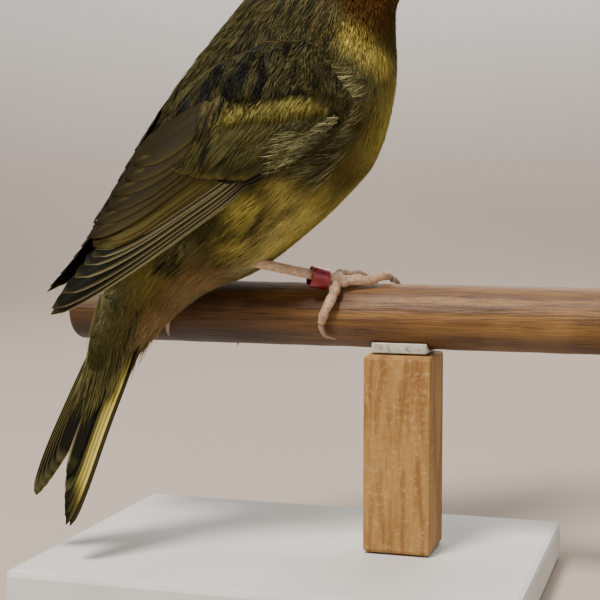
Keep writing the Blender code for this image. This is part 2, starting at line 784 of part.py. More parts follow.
def make_foot(side, palm, start):
    """The palm's pad and four toes that grip the perch, the hind toe on one side and three on the other."""
    foot = new_object("foot_" + side, ball(palm, PALM_RADIUS, 8, 12), "leg_skin")
    toes = []
    out = PERCH_RADIUS + GAP
    for toe, (steps, claw) in TOES[side].items():
        count = 2 * len(steps)
        slim = [1.12 - 0.34 * i / (count - 1) for i in range(count)]
        radii = [TOE_RADIUS * share + (0.09 if i % 2 else -0.03) for i, share in enumerate(slim)]
        rows = [(start + x, angle, out + lift + TOE_RADIUS * 1.05) for x, angle, lift in steps]
        points = [palm] + [on_perch(*spline(rows, i / 2)) for i in range(count - 1)]
        toes.append(new_object("toe", tube(points, radii, 10), "leg_skin"))
        (x0, angle0, _), (x1, angle1, _) = steps[-2:]
        turn = CLAW_GAP_TURN if angle1 > angle0 else -CLAW_GAP_TURN
        root = (x1 + (x1 - x0) * turn / (angle1 - angle0), angle1 + turn, 0.35)
        rows = [(start + x, angle, out + CLAW_RADIUS + lift) for x, angle, lift in (root, *claw)]
        points = [on_perch(*spline(rows, i / 2)) for i in range(5)]
        radii = [CLAW_RADIUS * (1.25 - 0.26 * i) for i in range(5)]
        new_object(f"claw_{toe}_{side}", tube(points, radii, 8), "claw_horn")
    boolean(foot, toes, "UNION")


def make_ring():
    """The closed ring on the right shank, a short tube that the shank passes through."""
    run = (RIGHT_PALM - RIGHT_ANKLE).normalized()
    middle = RIGHT_PALM - run * (RING_LENGTH / 2 + RING_BEFORE_PALM) * MM
    side = Vector((0, 0, 1)).cross(run).normalized()
    over = run.cross(side)
    middle -= over * RING_SAG * MM
    count = 22
    profile = (
        (-0.5, RING_INNER),
        (-0.5, RING_OUTER - 0.12),
        (-0.47, RING_OUTER),
        (0.47, RING_OUTER),
        (0.5, RING_OUTER - 0.12),
        (0.5, RING_INNER),
    )
    form = bmesh.new()
    made = []
    for k in range(count):
        turn = 2 * math.pi * k / count
        spoke = side * math.cos(turn) + over * math.sin(turn)
        made.append([form.verts.new(middle + (run * RING_LENGTH * t + spoke * r) * MM) for t, r in profile])
    for i in range(count):
        first, second = made[i], made[(i + 1) % count]
        for j in range(len(profile)):
            k = (j + 1) % len(profile)
            form.faces.new((first[j], first[k], second[k], second[j]))
    return new_object("leg_ring", form, "ring")


def bevelled_box(name, low, high, width, finish):
    form = bmesh.new()
    bmesh.ops.create_cube(form, size=1.0)
    size = Vector(high) - Vector(low)
    middle = (Vector(high) + Vector(low)) / 2
    bmesh.ops.scale(form, verts=form.verts, vec=size * MM)
    bmesh.ops.translate(form, verts=form.verts, vec=middle * MM)
    edges = form.edges[:]
    bmesh.ops.bevel(form, geom=edges, offset=width * MM, segments=2, profile=0.5, affect="EDGES", material=-1)
    return new_object(name, form, finish)


def perch_cylinder(name, radius, left, right, end_round):
    """A length of round rod along the perch's axis, with rounded ends."""
    inner = radius - end_round
    profile = [(left, inner * 0.55)]
    for k in range(4):
        turn = math.pi / 2 * k / 3
        profile.append((left + end_round * (1 - math.sin(turn)), inner + end_round * math.cos(turn)))
    profile[1:] = sorted(profile[1:])
    ends = profile + [(left + right - x, r) for x, r in reversed(profile)]
    rings = []
    for x, r in ends:
        ring = []
        for k in range(PERCH_SIDES):
            turn = 2 * math.pi * k / PERCH_SIDES
            ring.append((PERCH_AXIS + Vector((x, r * math.sin(turn), r * math.cos(turn)))) * MM)
        rings.append(ring)
    return new_object(name, skin_rings(rings), "perch_wood")


def make_stand():
    """The cut length of perch, the square post under it, and the flat base."""
    perch_cylinder("perch", PERCH_RADIUS, PERCH_LEFT, PERCH_RIGHT, PERCH_END_ROUND)
    length, width, height = BASE_SIZE
    low = (-length / 2, -width / 2, 0)
    high = (length / 2, width / 2, height)
    bevelled_box("stand_base", low, high, BASE_ROUND, "base_paint")
    post_top = PERCH_HEIGHT - PERCH_RADIUS - GLUE_THICKNESS
    centre = Vector((FOOT_X + POST_X, FOOT_Y, 0))
    half = POST_WIDTH / 2
    low = centre + Vector((-half, -half, height + GAP))
    high = centre + Vector((half, half, post_top))
    bevelled_box("stand_post", low, high, POST_ROUND, "post_wood")
    low = centre + Vector((-half + 1.2, -half + 2.0, post_top + GAP))
    high = centre + Vector((half - 1.2, half - 2.0, post_top + 2.4))
    glue = bevelled_box("stand_glue", low, high, 0.25, "glue")
    cutter = perch_cylinder("cutter", PERCH_RADIUS + GAP, PERCH_LEFT - 5, PERCH_RIGHT + 5, 1.0)
    boolean(glue, [cutter], "DIFFERENCE")


def main():
    for obj in list(bpy.data.objects):
        bpy.data.objects.remove(obj)
    head, neck, torso = make_body()
    make_eyes(head)
    make_bill()
    whole = skin_rings([[world(p) for p in body_ring(5.0 + 0.4 * i)] for i in range(31)])
    body = BVHTree.FromBMesh(whole)
    whole.free()
    tail = make_tail()
    for name, side in (("wing_right", -1), ("wing_left", 1)):
        wing = make_wing(name, body, side, torso)
        boolean(wing, [grown(tail, GAP)], "DIFFERENCE")
        boolean(wing, [grown(neck, GAP)], "DIFFERENCE")
    right_thigh = (
        (-13.0, -6.5, 19.0, 5.6),
        (-16.0, -8.0, 14.6, 4.2),
        (-17.6, -8.7, 12.2, 2.6),
        (-16.6, -8.8, 11.2, 1.7),
    )
    left_thigh = (
        (-31.0, 6.0, 18.6, 5.2),
        (-31.0, 7.8, 16.4, 4.2),
        (-31.0, 9.2, 14.8, 2.8),
        (-30.6, 9.8, 13.6, 1.8),
    )
    make_leg("right", RIGHT_PALM, RIGHT_ANKLE, right_thigh, torso)
    make_foot("right", RIGHT_PALM, 0.0)
    make_leg("left", LEFT_PALM, LEFT_ANKLE, left_thigh, torso)
    make_foot("left", LEFT_PALM, LEFT_FOOT)
    make_ring()
    make_stand()


main()
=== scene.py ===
# %% [markdown]
# # A canary on a cut length of perch
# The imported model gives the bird's true shape and size in plain solids. This lesson dresses it: a skin,
# a coat of small feathers, wings and tail feather by feather, scaly feet, and a perch of old wood.
# Everything is worked out in millimetres in the bird's own frame and turned into metres at the end.

# %% Load the model that the dressing is made for
import json
import math

import bmesh
import bpy
import numpy as np
from mathutils import Vector
from mathutils.bvhtree import BVHTree
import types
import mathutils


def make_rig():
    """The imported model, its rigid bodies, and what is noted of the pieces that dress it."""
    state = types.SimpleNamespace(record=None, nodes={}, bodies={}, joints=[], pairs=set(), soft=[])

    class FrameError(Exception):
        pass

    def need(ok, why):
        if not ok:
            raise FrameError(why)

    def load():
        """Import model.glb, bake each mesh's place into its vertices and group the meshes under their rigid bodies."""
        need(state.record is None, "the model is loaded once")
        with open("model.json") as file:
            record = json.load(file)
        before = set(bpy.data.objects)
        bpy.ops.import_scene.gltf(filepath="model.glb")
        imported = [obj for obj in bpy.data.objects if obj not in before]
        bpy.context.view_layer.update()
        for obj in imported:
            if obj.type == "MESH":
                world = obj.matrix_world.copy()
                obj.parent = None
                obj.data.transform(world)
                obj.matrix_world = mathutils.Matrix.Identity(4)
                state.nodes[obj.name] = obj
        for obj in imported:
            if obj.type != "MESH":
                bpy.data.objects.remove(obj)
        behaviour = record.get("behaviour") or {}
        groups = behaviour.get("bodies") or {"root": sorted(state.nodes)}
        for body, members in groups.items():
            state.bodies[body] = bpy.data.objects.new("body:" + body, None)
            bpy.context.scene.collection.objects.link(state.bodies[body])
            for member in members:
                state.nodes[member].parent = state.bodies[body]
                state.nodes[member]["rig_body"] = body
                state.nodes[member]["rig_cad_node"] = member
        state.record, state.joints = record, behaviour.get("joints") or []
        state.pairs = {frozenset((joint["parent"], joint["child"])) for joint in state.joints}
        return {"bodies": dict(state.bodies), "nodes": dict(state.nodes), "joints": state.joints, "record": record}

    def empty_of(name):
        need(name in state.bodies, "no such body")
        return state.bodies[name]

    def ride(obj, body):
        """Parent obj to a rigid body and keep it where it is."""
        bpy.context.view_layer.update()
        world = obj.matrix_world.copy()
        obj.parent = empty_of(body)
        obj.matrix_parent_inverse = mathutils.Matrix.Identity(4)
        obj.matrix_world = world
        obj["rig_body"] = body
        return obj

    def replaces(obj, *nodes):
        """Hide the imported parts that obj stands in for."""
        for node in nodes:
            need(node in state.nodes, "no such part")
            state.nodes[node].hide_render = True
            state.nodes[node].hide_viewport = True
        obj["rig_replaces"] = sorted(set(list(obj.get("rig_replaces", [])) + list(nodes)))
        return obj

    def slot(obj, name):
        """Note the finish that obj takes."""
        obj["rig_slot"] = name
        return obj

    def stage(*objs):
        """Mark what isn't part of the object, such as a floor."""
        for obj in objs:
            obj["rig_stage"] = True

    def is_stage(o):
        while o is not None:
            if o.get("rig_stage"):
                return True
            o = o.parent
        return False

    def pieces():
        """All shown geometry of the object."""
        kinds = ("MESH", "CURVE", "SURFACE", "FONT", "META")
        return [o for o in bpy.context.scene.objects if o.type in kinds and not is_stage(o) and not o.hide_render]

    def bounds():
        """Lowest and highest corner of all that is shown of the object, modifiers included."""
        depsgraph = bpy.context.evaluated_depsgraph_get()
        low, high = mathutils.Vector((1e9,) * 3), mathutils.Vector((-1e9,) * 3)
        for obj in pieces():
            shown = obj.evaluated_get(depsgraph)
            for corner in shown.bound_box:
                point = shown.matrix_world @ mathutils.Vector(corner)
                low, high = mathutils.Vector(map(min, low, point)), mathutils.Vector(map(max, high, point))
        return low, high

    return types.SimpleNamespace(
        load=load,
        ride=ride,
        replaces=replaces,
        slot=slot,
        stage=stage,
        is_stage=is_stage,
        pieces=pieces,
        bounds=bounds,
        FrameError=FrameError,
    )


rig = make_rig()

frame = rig.load()
nodes = frame["nodes"]
cad_box = [list(corner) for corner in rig.bounds()]
print("nodes:", len(nodes), "box:", cad_box)

# %% [markdown]
# ## The camera and the light
# The picture was taken from a little above the perch, from the bird's right and slightly behind, with a
# long lens. The camera comes first, so that every later look is from the true place. The main light is
# like a window at the upper left, with a weak fill from the right.

# %% Place the camera
MM = 0.001
PERCH_AXIS = np.array((6.0, 3.0, 54.5))
CAMERA_FROM_PERCH = np.array((72.18, -260.1, 23.67))
CAMERA_TURN = 17.0
CAMERA_DOWN = 4.4

camera = bpy.data.objects.new("camera", bpy.data.cameras.new("camera"))
camera.data.lens = 81.0
camera.data.sensor_width = 36.0
camera.data.clip_start = 0.01
camera.location = (PERCH_AXIS + CAMERA_FROM_PERCH) * MM
camera.rotation_euler = (math.radians(90 - CAMERA_DOWN), 0, math.radians(CAMERA_TURN))
bpy.context.scene.collection.objects.link(camera)
bpy.context.scene.camera = camera
print("camera at", tuple(camera.location))


# %% [markdown]
# The main light is small and high, so that barbs and scales keep their small shadows. The fill and the rim
# are wide and weak, and a fourth light falls on the backdrop.

# %% Hang the lights
def softbox(name, place, aim, size, power, colour):
    """A square area light at a place, turned to shine on a point."""
    light = bpy.data.lights.new(name, "AREA")
    light.shape = "SQUARE"
    light.size = size
    light.energy = power
    light.color = colour
    lamp = bpy.data.objects.new(name, light)
    lamp.location = place
    lamp.rotation_euler = (Vector(aim) - Vector(place)).to_track_quat("-Z", "Y").to_euler()
    bpy.context.scene.collection.objects.link(lamp)
    return lamp


BIRD_MIDDLE = (0.0, 0.01, 0.09)
softbox("window", (-0.16, -0.42, 0.70), BIRD_MIDDLE, 0.2, 10.5, (1.0, 0.965, 0.91))
softbox("fill", (0.65, -0.5, 0.3), BIRD_MIDDLE, 0.6, 1.4, (0.92, 0.95, 1.0))
softbox("rim", (0.1, 0.7, 0.5), BIRD_MIDDLE, 0.5, 2.2, (1.0, 0.98, 0.95))
softbox("backdrop", (0.1, 0.35, 1.0), (-0.25, 1.25, 0.45), 0.6, 7.0, (1.0, 0.985, 0.97))

world = bpy.data.worlds.new("studio")
bpy.context.scene.world = world
world.use_nodes = True
world.node_tree.nodes["Background"].inputs["Color"].default_value = (0.80, 0.79, 0.78, 1)
world.node_tree.nodes["Background"].inputs["Strength"].default_value = 0.40
print("lights:", [o.name for o in bpy.context.scene.objects if o.type == "LIGHT"])

# %% [markdown]
# ## Shader sums as plain sums
# A node tree for feathers or wood is mostly arithmetic. Wrapping a socket in a small class lets that
# arithmetic be written as Python, and each operator adds the Math node it stands for.


# %% A class for sums on sockets
class Field:
    """A number that changes over a surface, with the usual operators."""

    def __init__(self, finish, socket):
        self.finish = finish
        self.socket = socket

    def sum(self, operation, *values, clamp=False):
        settings = {"operation": operation, "use_clamp": clamp}
        made = self.finish.add("ShaderNodeMath", settings, dict(enumerate(values)))
        return Field(self.finish, made.outputs[0])

    def __add__(self, other):
        return self.sum("ADD", self, other)

    def __sub__(self, other):
        return self.sum("SUBTRACT", self, other)

    def __rsub__(self, other):
        return self.sum("SUBTRACT", other, self)

    def __mul__(self, other):
        return self.sum("MULTIPLY", self, other)

    __radd__ = __add__
    __rmul__ = __mul__

    def sine(self):
        return self.sum("SINE", self)

    def size(self):
        return self.sum("ABSOLUTE", self)

    def kept(self):
        """The value held between 0 and 1."""
        return self.sum("ADD", self, 0.0, clamp=True)

    def ramp(self, low, high, start=0.0, end=1.0):
        """A smooth step from start to end as the value goes from low to high."""
        settings = {"interpolation_type": "SMOOTHSTEP"}
        made = self.finish.add("ShaderNodeMapRange", settings, {0: self, 1: low, 2: high, 3: start, 4: end})
        return Field(self.finish, made.outputs[0])


class Finish:
    """A material on one Principled shader, built with a few short calls."""

    def __init__(self, name, roughness=0.6, metallic=0.0, **uniform):
        self.material = bpy.data.materials.new(name)
        self.material.use_nodes = True
        self.tree = self.material.node_tree
        self.shader = self.tree.nodes["Principled BSDF"]
        self.shader.inputs["Roughness"].default_value = roughness
        self.shader.inputs["Metallic"].default_value = metallic
        for socket, value in uniform.items():
            self.shader.inputs[socket.replace("_", " ")].default_value = value

    def add(self, kind, settings=None, inputs=None):
        """Adds a node: its settings first, then the values or links of its sockets."""
        node = self.tree.nodes.new(kind)
        for key, value in (settings or {}).items():
            setattr(node, key, value)
        for key, value in (inputs or {}).items():
            self.join(value, node.inputs[key])
        return node

    def join(self, value, socket):
        """Sets a socket from a number, a colour, a Field or an output."""
        if isinstance(value, Field):
            self.tree.links.new(value.socket, socket)
        elif isinstance(value, bpy.types.NodeSocket):
            self.tree.links.new(value, socket)
        elif isinstance(value, tuple) and len(value) == 3 and socket.type == "RGBA":
            socket.default_value = (*value, 1.0)
        else:
            socket.default_value = value

    def place(self, scale=(1, 1, 1), turn=(0, 0, 0)):
        """Object coordinates, turned and stretched."""
        where = self.add("ShaderNodeTexCoord").outputs["Object"]
        moved = self.add("ShaderNodeMapping", {}, {"Vector": where, "Rotation": turn, "Scale": scale})
        return moved.outputs[0]

    def noise(self, where, scale, detail=3.0, rough=0.55):
        inputs = {"Vector": where, "Scale": scale, "Detail": detail, "Roughness": rough}
        made = self.add("ShaderNodeTexNoise", {}, inputs)
        return Field(self, made.outputs["Fac"])

    def masks(self, name):
        """The three numbers of a named vertex attribute."""
        vector = self.add("ShaderNodeAttribute", {"attribute_name": name}).outputs["Vector"]
        split = self.add("ShaderNodeSeparateXYZ", {}, {0: vector})
        return [Field(self, out) for out in split.outputs]

    def scaled(self, colour, factor):
        """A colour made lighter or darker by a factor."""
        made = self.add("ShaderNodeVectorMath", {"operation": "SCALE"}, {0: colour, 3: factor})
        return made.outputs[0]

    def mix(self, first, second, factor):
        made = self.add("ShaderNodeMix", {"data_type": "RGBA"}, {0: factor, 6: first, 7: second})
        return made.outputs[2]

    def paint(self, colour=None, roughness=None, height=None, depth=0.0002, strength=1.0):
        """Links what varies to the shader: colour, roughness and a bump of a given depth in metres."""
        if colour is not None:
            self.join(colour, self.shader.inputs["Base Color"])
        if roughness is not None:
            self.join(roughness, self.shader.inputs["Roughness"])
        if height is not None:
            inputs = {"Strength": strength, "Distance": depth, "Height": height}
            bump = self.add("ShaderNodeBump", {}, inputs)
            self.tree.links.new(bump.outputs[0], self.shader.inputs["Normal"])
        return self.material


print("shader helpers ready")

# %% [markdown]
# ## The bird's own frame
# A bird is drawn most easily in its own directions: forward, to its left, and up. The body is a stack of
# egg-shaped rings from the bill's root to the tail's, the same rings that the solids were made from. Where
# a feather grows is then two numbers: the place along the rings, and the turn from the back.

# %% Directions and rings
HEADING = math.radians(43.0)
LEAN = math.radians(6.0)
HEAD_TURN = math.radians(-14.0)
NECK_PIVOT = 4.0
ROUNDNESS = 2.12
EGG_SHAPE = 0.1
FORWARD = np.array((math.cos(HEADING), math.sin(HEADING), 0.0))
LEVEL_LEFT = np.array((-math.sin(HEADING), math.cos(HEADING), 0.0))
LEFT = LEVEL_LEFT * math.cos(LEAN) + np.array((0, 0, math.sin(LEAN)))
UP = np.cross(FORWARD, LEFT)
AXES = np.array((FORWARD, LEFT, UP))
BIRD_ORIGIN = PERCH_AXIS + LEVEL_LEFT * 9.0

# Each row: back (forward, up), front (forward, up), half width, share of the head's turn, twist
BODY_RINGS = np.array((
    (19.7, 80.2, 20.3, 74.0, 3.3, 1.0, 0),
    (18.4, 82.6, 19.9, 73.1, 5.0, 1.0, 0),
    (15.8, 85.2, 19.3, 72.3, 6.6, 1.0, 0),
    (11.6, 86.8, 18.3, 71.4, 7.9, 1.0, 0),
    (6.0, 86.4, 17.2, 69.8, 8.5, 0.95, 0),
    (-0.2, 84.0, 15.8, 67.2, 9.0, 0.85, 0),
    (-3.4, 77.9, 14.3, 64.0, 9.9, 0.65, 0),
    (-7.9, 72.4, 13.0, 61.2, 11.6, 0.4, 0),
    (-12.9, 66.3, 12.5, 56.6, 14.0, 0.2, 0),
    (-21.6, 56.2, 12.9, 45.5, 16.4, 0.0, 0),
    (-28.5, 47.2, 9.8, 32.1, 17.2, 0.0, 0),
    (-32.0, 38.6, 3.1, 23.9, 16.4, 0.0, 0),
    (-35.4, 30.3, -5.4, 16.3, 14.6, 0.0, 0),
    (-38.5, 21.1, -15.4, 9.1, 11.9, 0.0, 0),
    (-41.3, 12.6, -25.8, 5.2, 9.3, 0.0, 2),
    (-44.4, 5.3, -33.0, -0.1, 7.2, 0.0, 8),
    (-47.0, -1.9, -37.5, -5.1, 5.2, 0.0, 15),
    (-48.0, -8.6, -41.6, -10.0, 3.4, 0.0, 20),
))


def unit(vectors):
    return vectors / np.maximum(np.linalg.norm(vectors, axis=-1, keepdims=True), 1e-9)


def to_model(points):
    """Bird millimetres to model metres."""
    return (BIRD_ORIGIN + np.asarray(points) @ AXES) * MM


def to_bird(points):
    """Model metres to bird millimetres."""
    return (np.asarray(points) / MM - BIRD_ORIGIN) @ AXES.T


def step(values, low, high):
    """A smooth step from 0 to 1."""
    t = np.clip((values - low) / (high - low), 0, 1)
    return t * t * (3 - 2 * t)


def smooth_rows(rows, place):
    """Reads rows of numbers at fractional places, smoothly."""
    last = len(rows) - 1
    place = np.clip(place, 0, last)
    start = np.minimum(place.astype(int), last - 1)
    t = (place - start)[..., None]
    a, b = rows[np.maximum(start - 1, 0)], rows[start]
    c, d = rows[start + 1], rows[np.minimum(start + 2, last)]
    return (2 * b + (c - a) * t + (2 * a - 5 * b + 4 * c - d) * t**2 + (3 * b - a - 3 * c + d) * t**3) / 2


def turned(points, share):
    """Turns points about the upright axis of the neck by a share of the head's turn."""
    turn = HEAD_TURN * share
    ahead = points[..., 0] - NECK_PIVOT
    forward = NECK_PIVOT + ahead * np.cos(turn) - points[..., 1] * np.sin(turn)
    left = ahead * np.sin(turn) + points[..., 1] * np.cos(turn)
    return np.stack((forward, left, points[..., 2]), axis=-1)


def body_at(place, angle):
    """Points on the body's outline. The angle is from the back, positive to the bird's left."""
    place, angle = np.broadcast_arrays(np.asarray(place, float), np.asarray(angle, float))
    row = np.moveaxis(smooth_rows(BODY_RINGS, place), -1, 0)
    back_f, back_u, front_f, front_u, half, share, twist = row
    zero = np.zeros_like(half)
    centre = np.stack(((back_f + front_f) / 2, zero, (back_u + front_u) / 2), axis=-1)
    rise = np.stack(((back_f - front_f) / 2, zero, (back_u - front_u) / 2), axis=-1)
    high = np.sign(np.cos(angle)) * np.abs(np.cos(angle)) ** (2 / ROUNDNESS)
    wide = np.sign(np.sin(angle)) * np.abs(np.sin(angle)) ** (2 / ROUNDNESS) * (1 - EGG_SHAPE * high)
    offset = rise * high[..., None]
    offset[..., 1] = half * wide
    axis = unit(np.cross(rise, np.array((0.0, 1.0, 0.0))))
    spin = -np.radians(twist)[..., None]
    along = axis * np.sum(axis * offset, axis=-1, keepdims=True)
    offset = offset * np.cos(spin) + np.cross(axis, offset) * np.sin(spin) + along * (1 - np.cos(spin))
    return turned(centre + offset, share)


LAST_RING = len(BODY_RINGS) - 1
body_length = float(np.linalg.norm(body_at(0, 0) - body_at(LAST_RING, 0)))
print("body is", round(body_length, 1), "mm from bill root to tail root")

# %% [markdown]
# ## Meshes from arrays
# A coat has tens of thousands of parts, too many for one operator call each. One strand is described once,
# as rings of three corners and a point, and numpy repeats it. The same helper carries the marks that the
# materials read, and a bake map that keeps each tuft in its own small square.


# %% A mesh from arrays
def mesh_piece(name, points, faces, material, masks=None, bake=None, uv=None):
    """A mesh object from metres, triangles, vertex masks and per-vertex maps."""
    mesh = bpy.data.meshes.new(name)
    mesh.vertices.add(len(points))
    mesh.vertices.foreach_set("co", np.asarray(points, np.float32).ravel())
    mesh.loops.add(faces.size)
    mesh.loops.foreach_set("vertex_index", faces.ravel().astype(np.int32))
    mesh.polygons.add(len(faces))
    mesh.polygons.foreach_set("loop_start", np.arange(0, faces.size, faces.shape[1], dtype=np.int32))
    mesh.update(calc_edges=True)
    for key, values in (masks or {}).items():
        layer = mesh.attributes.new(key, "FLOAT_VECTOR", "POINT")
        layer.data.foreach_set("vector", np.asarray(values, np.float32).ravel())
    for key, values in (("feather", uv), ("OFBake", bake)):
        if values is not None:
            layer = mesh.uv_layers.new(name=key)
            layer.data.foreach_set("uv", np.asarray(values, np.float32)[faces.ravel()].ravel())
    mesh.shade_smooth()
    mesh.materials.append(material)
    piece = bpy.data.objects.new(name, mesh)
    bpy.context.scene.collection.objects.link(piece)
    return piece


def faces_out(piece):
    """Turns all faces of a closed piece outward."""
    form = bmesh.new()
    form.from_mesh(piece.data)
    bmesh.ops.recalc_face_normals(form, faces=form.faces)
    form.to_mesh(piece.data)
    form.free()


def form_piece(name, form, material, sharp=40.0):
    """A bmesh made into an object, faces outward, smooth except at sharp edges."""
    bmesh.ops.remove_doubles(form, verts=form.verts, dist=1e-7)
    bmesh.ops.recalc_face_normals(form, faces=form.faces)
    if form.calc_volume(signed=True) < 0:
        bmesh.ops.reverse_faces(form, faces=form.faces)
    mesh = bpy.data.meshes.new(name)
    form.to_mesh(mesh)
    form.free()
    mesh.shade_smooth()
    mesh.set_sharp_from_angle(angle=math.radians(sharp))
    mesh.materials.append(material)
    piece = bpy.data.objects.new(name, mesh)
    bpy.context.scene.collection.objects.link(piece)
    return piece


def triangles(obj):
    obj.data.calc_loop_triangles()
    return len(obj.data.loop_triangles)


print("mesh helpers ready")

# %% [markdown]
# ## The markings
# Skin and coat share one set of markings. Each is a soft patch at a place along the body and a turn round
# it, in one of six tints: yellow, rust, grey, tan, pale and dark. The near side follows the picture. The
# far side has the same patches mirrored, with small shifts, as no bird is quite even.

# %% Patches of tint on the body
TINTS = ("yellow", "rust", "grey", "tan", "pale", "dark")
# Each row: tint, place along the body, angle from the back, spread along, spread round, strength
PATCHES = (
    ("rust", 6.6, 128, 1.3, 40, 0.9),
    ("rust", 7.5, 96, 0.95, 48, 1.0),
    ("dark", 7.6, 96, 0.8, 40, 0.25),
    ("rust", 2.2, 150, 2.2, 50, 0.55),
    ("rust", 4.6, 84, 1.3, 16, 0.55),
    ("yellow", 1.0, 30, 1.4, 60, 0.8),
    ("yellow", 3.2, 62, 1.3, 22, 0.75),
    ("yellow", 5.0, 128, 1.6, 26, 0.55),
    ("dark", 7.5, 150, 0.5, 34, 0.35),
    ("yellow", 8.6, 78, 0.3, 34, 1.0),
    ("yellow", 8.8, 112, 0.3, 22, 1.0),
    ("grey", 8.7, 38, 0.6, 20, 0.8),
    ("pale", 9.0, 58, 0.25, 12, 0.5),
    ("grey", 9.3, 92, 0.42, 30, 0.95),
    ("grey", 9.9, 76, 0.5, 18, 0.6),
    ("tan", 9.8, 112, 0.3, 12, 0.25),
    ("dark", 9.86, 108, 0.12, 5, 0.6),
    ("yellow", 9.6, 138, 0.9, 24, 0.5),
    ("dark", 10.5, 92, 0.45, 12, 0.5),
    ("tan", 10.6, 124, 0.5, 14, 0.3),
    ("yellow", 11.6, 98, 0.36, 14, 1.0),
    ("yellow", 12.2, 86, 0.35, 14, 0.9),
    ("yellow", 12.8, 96, 0.35, 14, 0.85),
    ("dark", 12.4, 95, 0.45, 3.4, 0.75),
    ("dark", 11.3, 99, 0.35, 3.2, 0.65),
    ("dark", 12.9, 88, 0.4, 3.6, 0.7),
    ("dark", 10.9, 105, 0.4, 3.2, 0.7),
    ("dark", 12.0, 107, 0.4, 2.8, 0.6),
    ("dark", 11.8, 90, 0.16, 5, 0.5),
    ("tan", 12.5, 104, 0.25, 7, 0.6),
    ("yellow", 12.1, 122, 0.9, 24, 1.0),
    ("yellow", 11.5, 160, 1.2, 28, 0.55),
    ("tan", 14.0, 108, 0.8, 34, 1.0),
    ("pale", 14.2, 116, 0.8, 30, 0.22),
    ("grey", 13.4, 68, 0.4, 20, 0.8),
    ("tan", 15.6, 112, 1.1, 50, 1.0),
    ("pale", 15.8, 120, 0.9, 40, 0.25),
    ("pale", 13.0, 126, 0.5, 16, 0.4),
    ("pale", 12.3, 116, 0.7, 18, 0.25),
    ("pale", 11.6, 100, 0.5, 16, 0.15),
    ("yellow", 14.2, 40, 0.9, 40, 0.25),
    ("grey", 15.4, 0, 0.9, 55, 0.7),
    ("grey", 14.0, 165, 0.9, 30, 0.5),
)


def wander(place, angle, seed, scale):
    """A slow, even noise over the body from a few sine waves."""
    draw = np.random.default_rng(seed)
    total = np.zeros(np.broadcast(place, angle).shape)
    for _ in range(5):
        a, b, c = draw.uniform(0.5, 1.5), draw.uniform(-1.5, 1.5), draw.uniform(0, 6.28)
        total += np.sin(scale * (a * place * 2.2 + b * angle * 3.0) + c)
    return total / 5


def body_tints(place, angle):
    """The six tints, from 0 to 1, at places on the body."""
    place = place + 0.10 * wander(place, angle, 3, 2.0)
    near = np.degrees(np.abs(angle)) + 4.0 * wander(place, angle, 4, 2.0) + np.where(angle > 0, 3.0, 0.0)
    found = {tint: np.zeros(place.shape) for tint in TINTS}
    for tint, at, turn, along, round_it, strength in PATCHES:
        fall = np.exp(-((((place - at) / along) ** 2 + ((near - turn) / round_it) ** 2) ** 1.5))
        found[tint] = np.maximum(found[tint], strength * fall)
    return found


def laid_over(found, tint, amount):
    """Lays one tint over the others, which fade under it."""
    for other in TINTS:
        found[other] = found[other] * (1 - amount)
    found[tint] = np.maximum(found[tint], amount)


MASKS = ("tint", "shade", "tone_and_root_shade")


def nine_masks(found, light, along, chance):
    """Six tints, the strand's own lightness, its place from root to point, and a chance number."""
    rows = [np.clip(found[tint], 0, 1) for tint in TINTS] + [light, along, chance]
    return np.stack(np.broadcast_arrays(*rows), axis=-1)


def split_masks(packed):
    """Nine masks as the three vectors that the shader reads."""
    return {name: packed[:, 3 * i: 3 * i + 3] for i, name in enumerate(MASKS)}


print("patches:", len(PATCHES))

# %% [markdown]
# ## The plumage material
# One material serves the skin and every feather. It starts from olive and lays the six tints over it in order, each by
# its mask. Noise drawn out along the feathers breaks the colour up, and a fine bump stands for the barbs that are too
# small to model. Soft strands are painted darker towards their roots, as painted shade where they lie over one
# another.

# %% Feather finishes
OLIVE = (0.080, 0.074, 0.013)
YELLOW = (0.78, 0.64, 0.14)
RUST = (0.15, 0.052, 0.0015)
GREY = (0.215, 0.192, 0.078)
TAN = (0.28, 0.155, 0.045)
PALE = (0.60, 0.52, 0.27)
DARK = (0.004, 0.003, 0.002)
BARB_DEPTH = 0.00006


def plumage(name, barbs=0.0, roughness=0.66, gloss=0.18):
    """The feather material. barbs is the strength of the fine lines on a vane."""
    finish = Finish(name, roughness=roughness, Specular_IOR_Level=gloss)
    yellow, rust, grey = finish.masks("tint")
    tan, pale, dark = finish.masks("shade")
    light, along, chance = finish.masks("tone_and_root_shade")
    where = finish.place()
    fine = finish.noise(where, 900.0, 4.0, 0.6)
    broad = finish.noise(where, 120.0, 2.0, 0.5)
    colour = finish.mix(OLIVE, YELLOW, yellow)
    colour = finish.mix(colour, GREY, grey)
    colour = finish.mix(colour, TAN, tan)
    colour = finish.mix(colour, RUST, rust)
    colour = finish.mix(colour, PALE, pale)
    colour = finish.mix(colour, DARK, dark)
    lightness = light * 1.15 + fine * 0.35 + broad * 0.3 - 0.1
    height = fine
    if barbs:
        uv = finish.add("ShaderNodeUVMap", {"uv_map": "feather"}).outputs[0]
        split = finish.add("ShaderNodeSeparateXYZ", {}, {0: uv})
        length = Field(finish, split.outputs[0])
        width = Field(finish, split.outputs[1])
        lines = (length * 210.0 - width.size() * 160.0 + fine * 1.5).sine()
        lightness = lightness * (1 - lines.ramp(-0.2, 1.0) * barbs)
        height = lines * barbs + fine * 0.4
    else:
        # Painted shade: soft strands darken towards their roots. The skin and the arm's pillow, set at 0.3 of the way,
        # get part of it.
        lightness = lightness * along.ramp(0.0, 0.6, 0.42, 1.0) + chance * 0.06
    colour = finish.scaled(colour, lightness)
    rough = (fine * 0.25 + (roughness - 0.1)).kept()
    return finish.paint(colour, rough, height, depth=BARB_DEPTH, strength=0.6)


plumage_soft = plumage("plumage_soft")
plumage_vane = plumage("plumage_vane", barbs=0.35, roughness=0.56, gloss=0.08)
print("finishes:", plumage_soft.name, plumage_vane.name)

